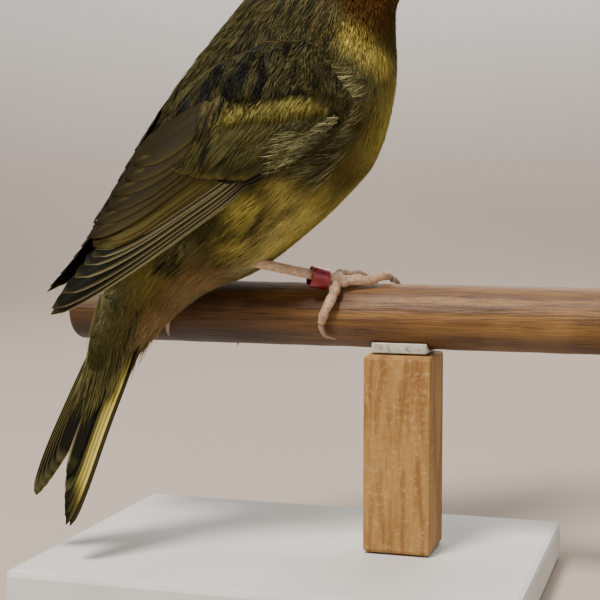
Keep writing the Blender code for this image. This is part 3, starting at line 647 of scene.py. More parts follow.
# %% [markdown]
# ## The skin
# Under the coat lies one closed skin. Copies of the head, neck, torso and thighs are joined, remeshed into
# one surface so that no seam shows, smoothed, and drawn in by the depth of the coat: about a millimetre on
# the body, half of that on the face, and next to nothing round the bill.


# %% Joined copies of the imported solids
def packed_form(*names):
    """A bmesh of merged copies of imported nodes."""
    form = bmesh.new()
    for name in names:
        form.from_mesh(nodes[name].data)
    bmesh.ops.remove_doubles(form, verts=form.verts, dist=1e-7)
    return form


def relax(form):
    """Smooths a bmesh by one step."""
    bmesh.ops.smooth_vert(
        form, verts=form.verts, factor=0.5, use_axis_x=True, use_axis_y=True, use_axis_z=True
    )


def remeshed(form, voxel, smooth):
    """One closed, even surface over everything in a bmesh."""
    mesh = bpy.data.meshes.new("remesh")
    form.to_mesh(mesh)
    form.free()
    carrier = bpy.data.objects.new("remesh", mesh)
    bpy.context.scene.collection.objects.link(carrier)
    modifier = carrier.modifiers.new("remesh", "REMESH")
    modifier.mode = "VOXEL"
    modifier.voxel_size = voxel * MM
    graph = bpy.context.evaluated_depsgraph_get()
    made = bmesh.new()
    made.from_mesh(carrier.evaluated_get(graph).to_mesh())
    bpy.data.objects.remove(carrier)
    for _ in range(smooth):
        relax(made)
    return made


BODY_ROUND = 120
BODY_LONG = 171
grid_place, grid_angle = np.meshgrid(
    np.linspace(0, LAST_RING, BODY_LONG), np.linspace(-math.pi, math.pi, BODY_ROUND + 1), indexing="ij"
)
grid_points = body_at(grid_place, grid_angle)
print("body grid:", grid_points.shape)


# %% [markdown]
# Every point of the skin needs to know which markings it carries. A search tree over the rings finds the
# nearest place along the body and the turn round it, and the same tree helps to lay the wings.

# %% Where a point lies on the body
def grid_quads(rows, columns):
    """Corner numbers of the quads of a grid."""
    start = (np.arange(rows - 1)[:, None] * columns + np.arange(columns - 1)).ravel()
    return np.stack((start, start + 1, start + columns + 1, start + columns), axis=-1)


def surface_tree(points):
    """A search tree over a grid of points."""
    quads = grid_quads(*points.shape[:2])
    return BVHTree.FromPolygons(points.reshape(-1, 3).tolist(), quads.tolist())


body_tree = surface_tree(grid_points)


def body_places(points):
    """The place along the body and the angle nearest to each point."""
    found = np.zeros((len(points), 2))
    for i, point in enumerate(points.tolist()):
        _, _, face, _ = body_tree.find_nearest(point)
        row, column = divmod(face, BODY_ROUND)
        found[i] = (grid_place[row, column] + 0.05, grid_angle[row, column] + math.pi / BODY_ROUND)
    return found[:, 0], found[:, 1]


def coat_depth(place):
    """How far the coat stands over the skin: deep on the body, thin on the face and round the bill."""
    return 0.12 + 0.38 * step(place, 0.2, 3.0) + 0.7 * step(place, 5.0, 9.0)


SKIN_VOXEL = 0.75
SKIN_SMOOTHING = 5
solids = packed_form("head", "neck", "torso", "thigh_right", "thigh_left")
form = remeshed(solids, SKIN_VOXEL, SKIN_SMOOTHING)
form.normal_update()
places, angles = body_places(to_bird(np.array([v.co for v in form.verts])))
depths = coat_depth(places)
for vertex, depth in zip(form.verts, depths):
    vertex.co -= vertex.normal * float(depth) * MM
relax(form)
skin = form_piece("skin", form, plumage_soft, sharp=180)
for key, values in split_masks(nine_masks(body_tints(places, angles), 0.4, 0.3, 0.5)).items():
    layer = skin.data.attributes.new(key, "FLOAT_VECTOR", "POINT")
    layer.data.foreach_set("vector", values.astype(np.float32).ravel())
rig.ride(skin, "root")
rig.replaces(skin, "head", "neck", "torso", "thigh_right", "thigh_left")
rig.slot(skin, "plumage_breast")
print("skin:", triangles(skin), "triangles")

# %% [markdown]
# ## Sheets that feathers lie in
# Body, folded wings and tail are each a curved sheet with two numbers for every place: along the lie of
# the feathers and across it. A feather or a strand is drawn flat in those numbers and the sheet bends it
# to the bird. The wing's sheet stands clear of the body's side and spreads out towards the tip.


# %% A sheet read from a grid
class Sheet:
    """A grid of points in bird millimetres that is read smoothly at any place."""

    def __init__(self, points, along, across, away):
        self.low = np.array((along[0], across[0]))
        self.high = np.array((along[1], across[1]))
        self.shape = np.array(points.shape[:2])
        cell = (self.high - self.low) / (self.shape - 1)
        run = np.gradient(points, axis=0) / cell[0]
        rise = np.gradient(points, axis=1) / cell[1]
        out = unit(np.cross(run, rise))
        out *= np.sign(np.sum(out * away, axis=-1, keepdims=True))
        pace = np.stack((np.linalg.norm(run, axis=-1), np.linalg.norm(rise, axis=-1)), axis=-1)
        self.table = np.concatenate((points, out, unit(run), pace), axis=-1)

    def at(self, along, across):
        """Points, directions outward and along the lie, and millimetres for each unit along and across."""
        where = np.stack((along, across), axis=-1)
        place = (where - self.low) / (self.high - self.low) * (self.shape - 1)
        place = np.clip(place, 0, self.shape - 1.001)
        start = place.astype(int)
        part = place - start
        a, b = start[..., 0], start[..., 1]
        s, t = part[..., :1], part[..., 1:]
        near = self.table[a, b] * (1 - t) + self.table[a, b + 1] * t
        far = self.table[a + 1, b] * (1 - t) + self.table[a + 1, b + 1] * t
        found = near * (1 - s) + far * s
        return found[..., :3], unit(found[..., 3:6]), unit(found[..., 6:9]), np.maximum(found[..., 9:], 0.2)


grid_middle = np.mean(grid_points, axis=1, keepdims=True)
body_sheet = Sheet(grid_points, (0, LAST_RING), (-math.pi, math.pi), grid_points - grid_middle)
print("body sheet:", body_sheet.shape)

# %% [markdown]
# A folded wing lies over the flank and follows it, but it stays a firm, gently bowed plate where the body
# falls away. So the sheet is the higher of two surfaces, the body's side and a free plate, softly blended.

# %% The folded wings' sheets
WRIST = np.array((-7.2, 42.7))
WING_SLOPES = {-1: math.radians(39.1), 1: math.radians(37.9)}
LEFT_WING_SHIFT = (3.6, -1.6)
WING_CLEAR = 0.55
WING_ALONG = (-8.0, 70.0)
WING_ACROSS = (-8.0, 20.0)
WIDTH_TABLE = np.array((
    (-4.0, -2.0, 12.0),
    (2.0, -4.6, 15.4),
    (10.0, -4.0, 17.0),
    (18.0, -3.0, 16.2),
    (26.0, -1.6, 13.6),
    (36.0, -1.6, 9.9),
    (44.0, -0.7, 6.7),
    (54.0, -0.4, 3.4),
    (66.0, -0.2, 0.6),
))
SET_OUT_TABLE = np.array((
    (14.0, 8.0), (16.0, 5.0), (16.0, 3.0), (14.6, 1.8), (12.5, 1.3), (10.4, 1.5), (8.4, 2.8), (6.4, 5.4),
))


def wing_axes(side):
    """The wing's start and its two directions in the bird's middle plane."""
    slope = WING_SLOPES[side]
    along = np.array((-math.cos(slope), -math.sin(slope)))
    across = np.array((-math.sin(slope), math.cos(slope)))
    start = WRIST.copy()
    if side > 0:
        start += across * LEFT_WING_SHIFT[1] - along * LEFT_WING_SHIFT[0]
    return start, along, across


def wing_width(along):
    """The lower and upper edge of the folded wing at places along it."""
    index = np.interp(along, WIDTH_TABLE[:, 0], np.arange(len(WIDTH_TABLE)))
    rows = smooth_rows(WIDTH_TABLE, index)
    return rows[..., 1], rows[..., 2]


def free_reach(along, across):
    """How far a folded wing stands out where the body doesn't push it."""
    rows = smooth_rows(SET_OUT_TABLE, (along + 2.0) / 9.7)
    high, low = rows[..., 1], rows[..., 0]
    bottom, top = wing_width(along)
    share = np.clip((across - bottom) / np.maximum(top - bottom, 1.0), 0.0, 1.0)
    return high + (low - high) * (1 - share**2.2) ** 0.6


def wing_sheet(side):
    """The sheet of one folded wing, laid over the side of the body by casting rays at it."""
    start, along_axis, across_axis = wing_axes(side)
    long_steps = np.arange(WING_ALONG[0], WING_ALONG[1] + 1)
    wide_steps = np.arange(WING_ACROSS[0], WING_ACROSS[1] + 1)
    along, across = np.meshgrid(long_steps, wide_steps, indexing="ij")
    flat = start + along[..., None] * along_axis + across[..., None] * across_axis
    body = np.zeros(along.shape)
    for index in np.ndindex(along.shape):
        forward, up = flat[index]
        hit = body_tree.ray_cast((forward, side * 60.0, up), (0, -side, 0))[0]
        body[index] = max(hit.y * side, 0.0) if hit else 0.0
    soft = 0.8
    out = soft * np.logaddexp((body + WING_CLEAR) / soft, free_reach(along, across) / soft)
    points = np.stack((flat[..., 0], side * out, flat[..., 1]), axis=-1)
    return Sheet(points, WING_ALONG, WING_ACROSS, np.array((0.0, side, 0.0)))


wing_sheets = {side: wing_sheet(side) for side in (-1, 1)}
print("wing sheets:", wing_sheets[-1].shape)

# %% [markdown]
# A closed tail is nearly flat. It hangs in line with the body and is turned a little about its own line.

# %% The tail's sheet
TAIL_ROOT = np.array((-39.6, 0.0, 3.2))
TAIL_END = np.array((-55.3, 0.0, -36.0))
TAIL_TWIST = math.radians(20.0)
TAIL_LENGTH = float(np.linalg.norm(TAIL_END - TAIL_ROOT))


def tail_sheet():
    """A flat sheet along the tail, turned a little so that the camera sees its upper face."""
    along = unit(TAIL_END - TAIL_ROOT)
    level = np.array((0.0, 1.0, 0.0))
    left = level * math.cos(TAIL_TWIST) - np.cross(along, level) * math.sin(TAIL_TWIST)
    out = np.cross(left, along)
    if out[0] > 0:
        out = -out
    reach, side = np.meshgrid(np.arange(-2.0, 53.0), np.arange(-14.0, 15.0), indexing="ij")
    points = TAIL_ROOT + along * reach[..., None] + left * side[..., None]
    return Sheet(points, (-2.0, 52.0), (-14.0, 14.0), out)


tail = tail_sheet()
print("tail:", round(TAIL_LENGTH, 1), "mm long")

# %% [markdown]
# ## Vanes: the wing and tail feathers
# A flight feather is a thin blade with a raised shaft, wider on one side, and it overlaps the next in a
# fixed order. Each one here is a thin closed blade whose outline is drawn from a root, a tip and a half
# width. Rows of such blades make a wing: primaries, secondaries, inner feathers, greater coverts and the
# short feathers at its bend. A feather's marks follow its length and width, so edges stay crisp.

# %% One blade and many blades
VANE_THICK = 0.12
CAMBER = 0.18
vane_batches = {}


def blade_faces(rows, columns):
    """The quads of a closed thin blade: upper face, lower face and rim."""
    upper = grid_quads(rows, columns)
    count = rows * columns
    lower = upper[:, ::-1] + count
    top = np.arange(count).reshape(rows, columns)
    edge = np.concatenate((top[0, :], top[1:, -1], top[-1, -2::-1], top[-2:0:-1, 0]))
    after = np.roll(edge, -1)
    rim = np.stack((after, edge, edge + count, after + count), axis=-1)
    return np.concatenate((upper, lower, rim))


def blade(sheet, root, tip, half, lift, tilt=0.1, bow=0.0, blunt=0.5, rows=22):
    """A feather's points, with its own length and width coordinates, in bird millimetres."""
    root, tip = np.array(root, float), np.array(tip, float)
    across = np.array((-1.0, -0.86, -0.6, -0.28, 0.0, 0.28, 0.6, 0.86, 1.0))
    t = np.linspace(0, 1, rows) ** 0.85
    t, v = np.meshgrid(t, across, indexing="ij")
    run = tip - root
    aside = unit(np.array((-run[1], run[0])))
    begin = 0.5 + 0.4 * blunt
    fade = np.sqrt(np.maximum(1 - (np.clip((t - begin) / (1 - begin), 0, 1) ** 2), 0.0))
    wide = half * (0.5 + 0.5 * step(t, 0.0, 0.35)) * (0.06 + 0.94 * fade)
    shift = bow * np.sin(math.pi * t) + wide * v
    place = root + run * t[..., None] + aside * shift[..., None]
    points, out, _, _ = sheet.at(place[..., 0], place[..., 1])
    ridge = 0.1 * np.exp(-((v / 0.1) ** 2)) * (1 - t)
    height = lift[0] + (lift[1] - lift[0]) * t - tilt * v - CAMBER * v**2 * half / 2 + ridge
    upper = points + out * height[..., None]
    lower = points + out * (height - VANE_THICK)[..., None]
    return upper, lower, t, v, float(np.linalg.norm(run)), half


def add_vane(batch, kind, sheet, *shape, **options):
    """Keeps a blade for one of the joined pieces, with its kind of marking."""
    vane_batches.setdefault(batch, []).append((kind, blade(sheet, *shape, **options)))


# Marks of each kind of feather: base tints, then edge (tint, width, which side), centre streak and tip
VANE_MARKS = {
    "primary": dict(
        base={"dark": 0.97},
        edge=("pale", 0.34, -1, 1.0),
        centre=None, tip=("pale", 0.03, 0.3),
    ),
    "secondary": dict(
        base={"dark": 0.8, "tan": 0.3},
        edge=("yellow", 1.5, -1, 0.2),
        centre=("dark", 0.16, 0.9), tip=None,
    ),
    "tertial": dict(
        base={"dark": 0.88, "tan": 0.3},
        edge=("tan", 1.0, -1, 0.26),
        centre=("dark", 0.3, 0.9), tip=None,
    ),
    "greater": dict(
        base={"grey": 0.1, "dark": 0.55},
        edge=("yellow", 0.8, 0, 0.1),
        centre=("dark", 0.3, 0.8), tip=("tan", 0.1, 0.35),
    ),
    "alula": dict(base={"dark": 0.95}, edge=("pale", 0.2, -1, 0.45), centre=None, tip=None),
    "rectrix": dict(
        base={"dark": 0.97},
        edge=("yellow", 0.22, 0, 0.5),
        centre=None, tip=("grey", 0.1, 0.5),
    ),
    "banded": dict(
        base={"dark": 0.93},
        edge=("yellow", 0.7, -1, 0.85),
        centre=None, tip=("dark", 0.2, 0.9),
    ),
    "bright": dict(
        base={"dark": 0.85},
        edge=("yellow", 1.5, -1, 0.92),
        centre=None, tip=("dark", 0.25, 0.9),
    ),
    "edge": dict(base={"dark": 0.88, "tan": 0.5}, edge=("dark", 0.4, -1, 0.9), centre=None, tip=None),
    "inner": dict(
        base={"dark": 0.95},
        edge=("pale", 1.3, 1, 0.9),
        centre=None, tip=("dark", 0.14, 0.95),
    ),
}


def vane_tints(kind, t, v, half, draw):
    """The six tints over one feather."""
    marks = VANE_MARKS[kind]
    found = {tint: np.full(t.shape, marks["base"].get(tint, 0.0)) for tint in TINTS}
    from_edge = (1 - np.abs(v)) * half
    tint, width, side, strength = marks["edge"]
    edge = strength * (1 - step(from_edge, 0.3 * width, width)) * step(t, 0.05, 0.3)
    if side:
        edge = edge * (v * side > 0)
    laid_over(found, tint, edge)
    if marks["centre"]:
        tint, width, strength = marks["centre"]
        shape = width * (1 - 0.75 * step(t, 0.55, 0.97))
        streak = strength * (1 - step(np.abs(v), 0.5 * shape, shape)) * (1 - step(t, 0.82, 0.95))
        found[tint] = np.maximum(found[tint] * (1 - streak), streak)
    if marks["tip"]:
        tint, length, strength = marks["tip"]
        ends = strength * step(t, 1 - length, 1 - 0.35 * length)
        found["dark"] = found["dark"] * (1 - ends)
        found[tint] = np.maximum(found[tint], ends)
    return nine_masks(found, draw.uniform(0.4, 0.62), t, draw.uniform())


def join_vanes(name, batch, material, slot):
    """One mesh from a batch of blades, with marks, feather coordinates and a bake map in cells."""
    points, faces, masks, maps, bakes = [], [], [], [], []
    blades = vane_batches[batch]
    columns = math.ceil(math.sqrt(len(blades) * 2 / 4))
    lines = math.ceil(len(blades) * 2 / columns)
    draw = np.random.default_rng(11)
    base = 0
    for index, (kind, (upper, lower, t, v, length, half)) in enumerate(blades):
        rows, across = t.shape
        packed = vane_tints(kind, t, v, half, draw).reshape(-1, 9)
        own = np.stack((t * length / 10, v * half / 10), axis=-1).reshape(-1, 2)
        for face, shell in enumerate((upper, lower)):
            cell = index * 2 + face
            corner = np.array((cell % columns / columns, cell // columns / lines))
            size = np.array((0.94 / columns, 0.9 / lines))
            inside = np.stack((t, (v + 1) / 2), axis=-1).reshape(-1, 2)
            points.append(shell.reshape(-1, 3))
            masks.append(packed)
            maps.append(own)
            bakes.append(corner + inside * size)
        faces.append(blade_faces(rows, across) + base)
        base += 2 * rows * across
    quads = np.concatenate(faces)
    piece = mesh_piece(
        name,
        to_model(np.concatenate(points)),
        quads,
        material,
        split_masks(np.concatenate(masks)),
        np.concatenate(bakes),
        np.concatenate(maps),
    )
    faces_out(piece)
    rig.ride(piece, "root")
    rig.slot(piece, slot)
    print(name + ":", len(blades), "feathers,", triangles(piece), "triangles")
    return piece


print("vane kinds:", len(VANE_MARKS))

# %% [markdown]
# Long primaries lie lowest and show as a stack of edges. Secondaries and the inner feathers lie over them,
# and greater coverts over their roots.

# %% The tiers of a folded wing
WING_RISE = 0.86
VANE_OVER = 0.28
PRIMARY_TIPS = (
    (62.9, 0.3), (64.3, 0.5), (63.2, 0.9), (60.2, 1.7), (56.4, 2.3), (53.6, 2.9), (51.6, 3.3), (50.0, 3.7),
)
GREATER_TIPS = ((23.0, 0.9), (26.4, 3.2), (29.2, 5.6), (31.4, 8.0), (31.2, 10.2), (29.4, 11.8))
MEDIAN_TIPS = ((5.4, 0.9), (8.4, 2.2), (11.4, 3.8), (14.8, 5.5), (18.4, 7.4), (21.2, 9.0))


def along_line(rows, count):
    """Points spread evenly along a line of places."""
    return smooth_rows(np.array(rows, float), np.linspace(0, len(rows) - 1, count))


def fill_wing(side):
    """All the blades of one wing, from the outermost primary to the greater coverts."""
    sheet = wing_sheets[side]
    batch = "wing_right" if side < 0 else "wing_left"
    draw = np.random.default_rng(21 + side)

    def add(kind, root, tip, half, low, high, **options):
        lift = (WING_RISE * low + VANE_OVER, WING_RISE * high + VANE_OVER)
        root = np.array(root) + draw.normal(0, 0.08, 2)
        tip = np.array(tip) + draw.normal(0, 0.12, 2)
        add_vane(batch, kind, sheet, root, tip, half, lift, **options)

    for i, tip in enumerate(PRIMARY_TIPS):
        root = (13.0, -0.6 + 0.55 * i)
        bow = -0.55 + 0.09 * i
        add("primary", root, tip, 1.7, 0.25 + 0.13 * i, 0.2 + 0.145 * i, bow=bow, blunt=0.25)
    for i in range(6):
        root = (14.0, 4.0 + 0.72 * i)
        tip = (49.8 - 0.95 * i, 3.9 + 0.42 * i)
        add("secondary", root, tip, 1.9, 1.32 + 0.1 * i, 1.36 + 0.09 * i, blunt=0.7)
    for i in range(6):
        root = (15.0, 7.0 + 1.0 * i)
        tip = (49.4 - 3.1 * i, 4.9 + 1.05 * i)
        add("tertial", root, tip, 1.55 + 0.07 * i, 1.9 + 0.11 * i, 1.98 + 0.12 * i, blunt=0.4)
    for i in range(5):
        root = (8.0, -1.6 + 0.55 * i)
        tip = (22.4 + 0.9 * i, -0.9 + 0.75 * i)
        add("alula", root, tip, 1.1, 1.1, 1.3 + 0.1 * i, rows=16, blunt=0.6)
    for i in range(3):
        root = (1.0, -2.2 + 0.5 * i)
        tip = (16.4 - 1.8 * i, -2.2 + 0.7 * i)
        add("alula", root, tip, 1.0, 1.3 + 0.1 * i, 1.5 + 0.1 * i, rows=16, blunt=0.6)
    for i, tip in enumerate(along_line(GREATER_TIPS[:4], 7)):
        add("greater", (7.0 + 0.9 * i, 2.2 + 1.1 * i), tip, 1.6, 1.6, 2.0 + 0.05 * i, blunt=0.8, rows=18)


for side in (-1, 1):
    fill_wing(side)
wing_right = join_vanes("wing_feathers_right", "wing_right", plumage_vane, "wing_feathers")
wing_left = join_vanes("wing_feathers_left", "wing_left", plumage_vane, "wing_feathers")
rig.replaces(wing_right, "wing_right")
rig.replaces(wing_left, "wing_left")

# %% [markdown]
# Twelve feathers lie over one another from the middle pair outward. The outer ones on the near side have
# bright edges, and the far ones are dark with narrow edges.

# %% The tail feather by feather
NEAR_TAIL = ("inner", "rectrix", "banded", "bright", "bright", "edge")


def fill_tail():
    """Twelve tail feathers that lie over one another from the middle."""
    pairs = 6
    for side, bow in ((-1, 1.0), (1, 0.4)):
        for i in range(pairs):
            share = i / (pairs - 1)
            reach = TAIL_LENGTH + 2.4 - 8.6 * (1 - share) ** 1.5 - (1.6 if side > 0 else 0.0)
            if i == pairs - 1:
                reach -= 1.0
            lift = 0.6 - 0.24 * i
            kind = NEAR_TAIL[i] if side < 0 else "rectrix"
            root = (2.0, side * (0.9 + 3.4 * share))
            tip = (reach, side * (2.1 + 4.5 * share))
            shape = dict(tilt=-0.1 * side, bow=bow, blunt=0.45, rows=26)
            add_vane("tail", kind, tail, root, tip, 2.2, (lift, lift), **shape)


fill_tail()
tail_feathers = join_vanes("tail_feathers", "tail", plumage_vane, "tail_feathers")
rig.replaces(tail_feathers, "tail")

# %% [markdown]
# ## The coat
# Small body feathers are loose at their edges, so they read as soft hair-like barbs more than as blades.
# Each tuft is one feather: a fan of slim closed strands from one root that spread, lie over the next tuft
# and end in points. Tufts grow in staggered rows as real feathers do, shortest on the face and longest by
# the tail. Where the coat meets the folded wings, the breast's and back's tufts are lifted over them.

# %% How high the wings stand
MAP_STEP = 0.5
MAP_START = -8.0
MAP_LONG = 48.0
MAP_WIDE = 20.0


def wing_heights(side, piece):
    """The reach of a finished wing from the middle plane over its own plane, by casting rays at it."""
    form = bmesh.new()
    form.from_mesh(piece.data)
    tree = BVHTree.FromBMesh(form)
    form.free()
    start, along_axis, across_axis = wing_axes(side)
    along = np.arange(MAP_START, MAP_LONG, MAP_STEP)
    across = np.arange(MAP_START, MAP_WIDE, MAP_STEP)
    reach = np.zeros((len(along), len(across)))
    ray = Vector(AXES[1] * -side)
    for i, a in enumerate(along):
        for j, c in enumerate(across):
            forward, up = start + a * along_axis + c * across_axis
            hit = tree.ray_cast(Vector(to_model((forward, side * 60.0, up))), ray)[0]
            if hit is not None:
                reach[i, j] = abs(to_bird(hit)[1])
    return reach


wing_reach = {-1: wing_heights(-1, wing_right), 1: wing_heights(1, wing_left)}
print("wing reach:", round(float(wing_reach[-1].max()), 1), round(float(wing_reach[1].max()), 1), "mm")


# %% [markdown]
# The breast's feathers lie over the bend of the wing. Their strands are grown on the body first, and each
# point that would be under the wing is then moved out to just over it.

# %% Wing coordinates and the lift over a wing
def wing_place(points, side):
    """Places along and across a wing for points in the bird's frame."""
    start, along_axis, across_axis = wing_axes(side)
    flat = points[..., [0, 2]] - start
    return flat @ along_axis, flat @ across_axis


def inside_wing(points, side):
    """How many millimetres a point lies inside the wing's outline, seen from the side."""
    along, across = wing_place(points, side)
    low, high = wing_width(along)
    return np.minimum(np.minimum(across - low, high - across), along + 3.6)


def over_wings(points, margin):
    """Moves points that would be under a wing to just over it."""
    points = points.copy()
    for side in (-1, 1):
        along, across = wing_place(points, side)
        reach = wing_reach[side]
        last, side_last = reach.shape[0] - 1, reach.shape[1] - 1
        a = np.clip((along - MAP_START) / MAP_STEP, 0, last - 0.01)
        c = np.clip((across - MAP_START) / MAP_STEP, 0, side_last - 0.01)
        i, j = a.astype(int), c.astype(int)
        s, t = a - i, c - j
        near = reach[i, j] * (1 - t) + reach[i, j + 1] * t
        far = reach[i + 1, j] * (1 - t) + reach[i + 1, j + 1] * t
        top = near * (1 - s) + far * s + margin
        on_map = (a > 0) & (a < last - 0.1) & (c > 0) & (c < side_last - 0.1)
        top = np.where(on_map, top, 0.0)
        mine = points[..., 1] * side
        lifted = (mine > 0) & (mine < top) & (top > margin + 0.5)
        points[..., 1] = np.where(lifted, top * side, points[..., 1])
    return points


# %% [markdown]
# A barb is finer than anything that can be modelled one by one. A sliver of three sides that ends in a
# point stands for a few barbs, and it is closed, so that it is sound as a solid too.

# %% Strands as closed slivers
def strand_faces(rings):
    """Triangles of one strand: a root cap, sides between rings of three corners, and a point."""
    faces = [(0, 2, 1)]
    for ring in range(rings - 2):
        for k in range(3):
            a, b = 3 * ring + k, 3 * ring + (k + 1) % 3
            faces += [(a, b, b + 3), (a, b + 3, a + 3)]
    last, tip = 3 * (rings - 2), 3 * (rings - 1)
    faces += [(last + k, last + (k + 1) % 3, tip) for k in range(3)]
    return np.array(faces)


def strand_points(centres, out, width):
    """Corner points of many strands from their centre lines: (strands, rings, 3)."""
    run = unit(np.gradient(centres, axis=1))
    side = unit(np.cross(out, run))
    up = np.cross(run, side)
    half = width[..., None]
    left = centres - side * half
    right = centres + side * half
    ridge = centres + up * half * 0.55
    rings = np.stack((left, right, ridge), axis=2)[:, :-1]
    flat = rings.reshape(len(centres), -1, 3)
    return np.concatenate((flat, centres[:, -1:]), axis=1)


def per_corner(values):
    """Spreads values for each ring of a strand over its three corners, with one for the point."""
    spread = np.repeat(values[:, :-1], 3, axis=1)
    return np.concatenate((spread, values[:, -1:]), axis=1)


coat_batches = {}
print("strand faces:", len(strand_faces(4)))


# %% [markdown]
# All tufts of one kind are worked out at once: roots, spread, lean, waves and height over the sheet. Small
# random shifts make each strand its own.

# %% Tufts on a sheet
RAGGED = 0.12


def grow(batch, sheet, places, length, spread, width, tints, strands=9, rings=4, lift=0.25, sink=0.5,
         lean=0.0, wave=0.1, over=0.0, seed=1):
    """Grows one tuft at each place of a sheet and keeps the strands for a joined piece.

    length, spread and width are in millimetres. sink is how deep the root lies and lift how high the
    point stands. lean turns the tuft from the lie. over is how far the tuft clears the wings.
    """
    draw = np.random.default_rng(seed)
    count = len(places)
    along, across = places[:, 0], places[:, 1]
    given = (length, spread, lean)
    length, spread, lean = (np.broadcast_to(value, count)[:, None, None] for value in given)
    t = np.linspace(0, 1, rings)[None, None, :]
    q = np.linspace(-1, 1, strands)[None, :, None] + draw.normal(0, 0.13, (count, strands, 1))
    reach = length * (1 - 0.25 * q**2) * (1 + draw.normal(0, RAGGED, (count, strands, 1)))
    phase = draw.uniform(0, 2 * math.pi, (count, strands, 1))
    aside = spread * q * (0.3 + 0.7 * np.sin(np.minimum(t * 1.7, 1.5)))
    aside = aside + draw.normal(0, 0.09, (count, 1, 1)) * reach * t**2 + wave * np.sin(phase + 4.0 * t) * t
    pace = sheet.at(along, across)[3]
    lean = lean + draw.normal(0, 0.05, (count, 1, 1))
    u = along[:, None, None] + (reach * t * np.cos(lean) - aside * np.sin(lean)) / pace[:, 0][:, None, None]
    v = across[:, None, None] + (reach * t * np.sin(lean) + aside * np.cos(lean)) / pace[:, 1][:, None, None]
    points, out, _, _ = sheet.at(u, v)
    rise = draw.normal(0, 0.06, (count, 1, 1)) + draw.normal(0, 0.05, (count, strands, 1))
    height = -sink * (1 - t) ** 1.3 + (lift + rise) * t
    centres = points + out * height[..., None]
    if over:
        centres = over_wings(centres, over * (0.3 + 0.7 * t))
    shape = np.interp(np.linspace(0, 1, rings), (0, 0.3, 0.6, 0.85, 1), (0.7, 1.0, 0.85, 0.5, 0.0))
    half = shape * width * draw.uniform(0.7, 1.3, (count, strands, 1))
    light = draw.uniform(0.22, 0.86, (count, strands, 1)) + draw.normal(0, 0.05, (count, 1, 1))
    found = tints(u, v, t + 0 * u, q + 0 * u, draw)
    packed = nine_masks(found, light, t, draw.uniform(0, 1, (count, 1, 1)))
    flat = (count * strands, rings)
    coat_batches.setdefault(batch, []).append(
        dict(
            points=strand_points(centres.reshape(*flat, 3), out.reshape(*flat, 3), half.reshape(flat)),
            masks=per_corner(packed.reshape(*flat, 9)),
            t=per_corner((t + 0 * u).reshape(flat)),
            q=per_corner((q + 0 * u).reshape(flat)),
            root=np.repeat(places, strands, axis=0),
            rings=rings,
            sheet=sheet,
        )
    )
    print(f"{batch}: {count} tufts, {count * strands * len(strand_faces(rings))} triangles")


def bake_corner(group, cell=0.003):
    """Each tuft's own small square on a flat map of its sheet."""
    sheet = group["sheet"]
    place = (group["root"] - sheet.low) / (sheet.high - sheet.low) * 0.99
    inside = np.stack((group["t"], (group["q"] + 1) / 2), axis=-1) * cell
    return np.clip(place, 0, 0.996)[:, None, :] + np.clip(inside, 0, cell)


PIECE_LIMIT = 195000


def join_coat(batch, material, slot):
    """Joins a batch's strands into pieces that each stay under the limit of triangles."""
    made = []
    points, faces, masks, bakes, base = [], [], [], [], 0

    def close():
        name = f"coat_{batch}_{len(made) + 1}"
        piece = mesh_piece(
            name,
            to_model(np.concatenate(points)),
            np.concatenate(faces),
            material,
            split_masks(np.concatenate(masks)),
            np.concatenate(bakes),
        )
        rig.ride(piece, "root")
        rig.slot(piece, slot)
        print(name + ":", len(piece.data.polygons), "triangles")
        made.append(piece)

    for group in coat_batches[batch]:
        pattern = strand_faces(group["rings"])
        total, corners = group["points"].shape[:2]
        bake = bake_corner(group)
        start = 0
        while start < total:
            room = (PIECE_LIMIT - sum(len(part) for part in faces)) // len(pattern)
            if room < 10:
                close()
                points, faces, masks, bakes, base = [], [], [], [], 0
                continue
            end = min(start + room, total)
            taken = end - start
            points.append(group["points"][start:end].reshape(-1, 3))
            masks.append(group["masks"][start:end].reshape(-1, 9))
            bakes.append(bake[start:end].reshape(-1, 2))
            offset = base + np.arange(taken)[:, None, None] * corners
            faces.append((pattern[None] + offset).reshape(-1, 3))
            base += taken * corners
            start = end
    close()
    return made


print("coat helpers ready")

# %% [markdown]
# ## The wing's soft shoulder
# The front of a folded wing is a soft cushion of short feathers in rows: lesser coverts with the back's
# scapulars over them, a yellow-green row of median coverts, and the long olive greater coverts. The arm
# under them is a low pillow on the wing's sheet. The feathers are tufts of strands, wider than on the
# body, and each scapular has a black streak down its middle and a buff fringe.

# %% The arm's pillow and its sheet
ARM_ALONG = (-4.0, 33.0)
# The lengths at which the pillow ends, at places across the wing
ARM_ENDS = (
    (-4.0, 0.9, 3.2, 5.6, 8.0, 10.2, 11.8, 17.0),
    (17.0, 23.0, 26.4, 29.2, 31.4, 32.0, 31.5, 30.0),
)
ARM_HEIGHTS = ((-4.0, -1.0, 3.0, 8.0, 16.0, 24.0, 30.0, 33.0), (0.2, 1.1, 1.8, 2.2, 2.4, 2.3, 2.1, 1.9))


def arm_points(side):
    """A grid over the wing's arm: the wing's sheet, raised to a pillow."""
    along, share = np.meshgrid(np.linspace(*ARM_ALONG, 75), np.linspace(0, 1, 45), indexing="ij")
    low, high = wing_width(along)
    across = low + (high - low) * share
    points, out, _, _ = wing_sheets[side].at(along, across)
    round_off = np.sin(math.pi * np.clip(share, 0.015, 0.985)) ** 0.55
    height = np.interp(along, *ARM_HEIGHTS) * round_off
    tips = np.interp(across, *ARM_ENDS)
    covered = 1 - step(along, tips - 5.0, tips - 2.0)
    return points, out, height, (height - 0.35) * covered - 0.6 * (1 - covered)


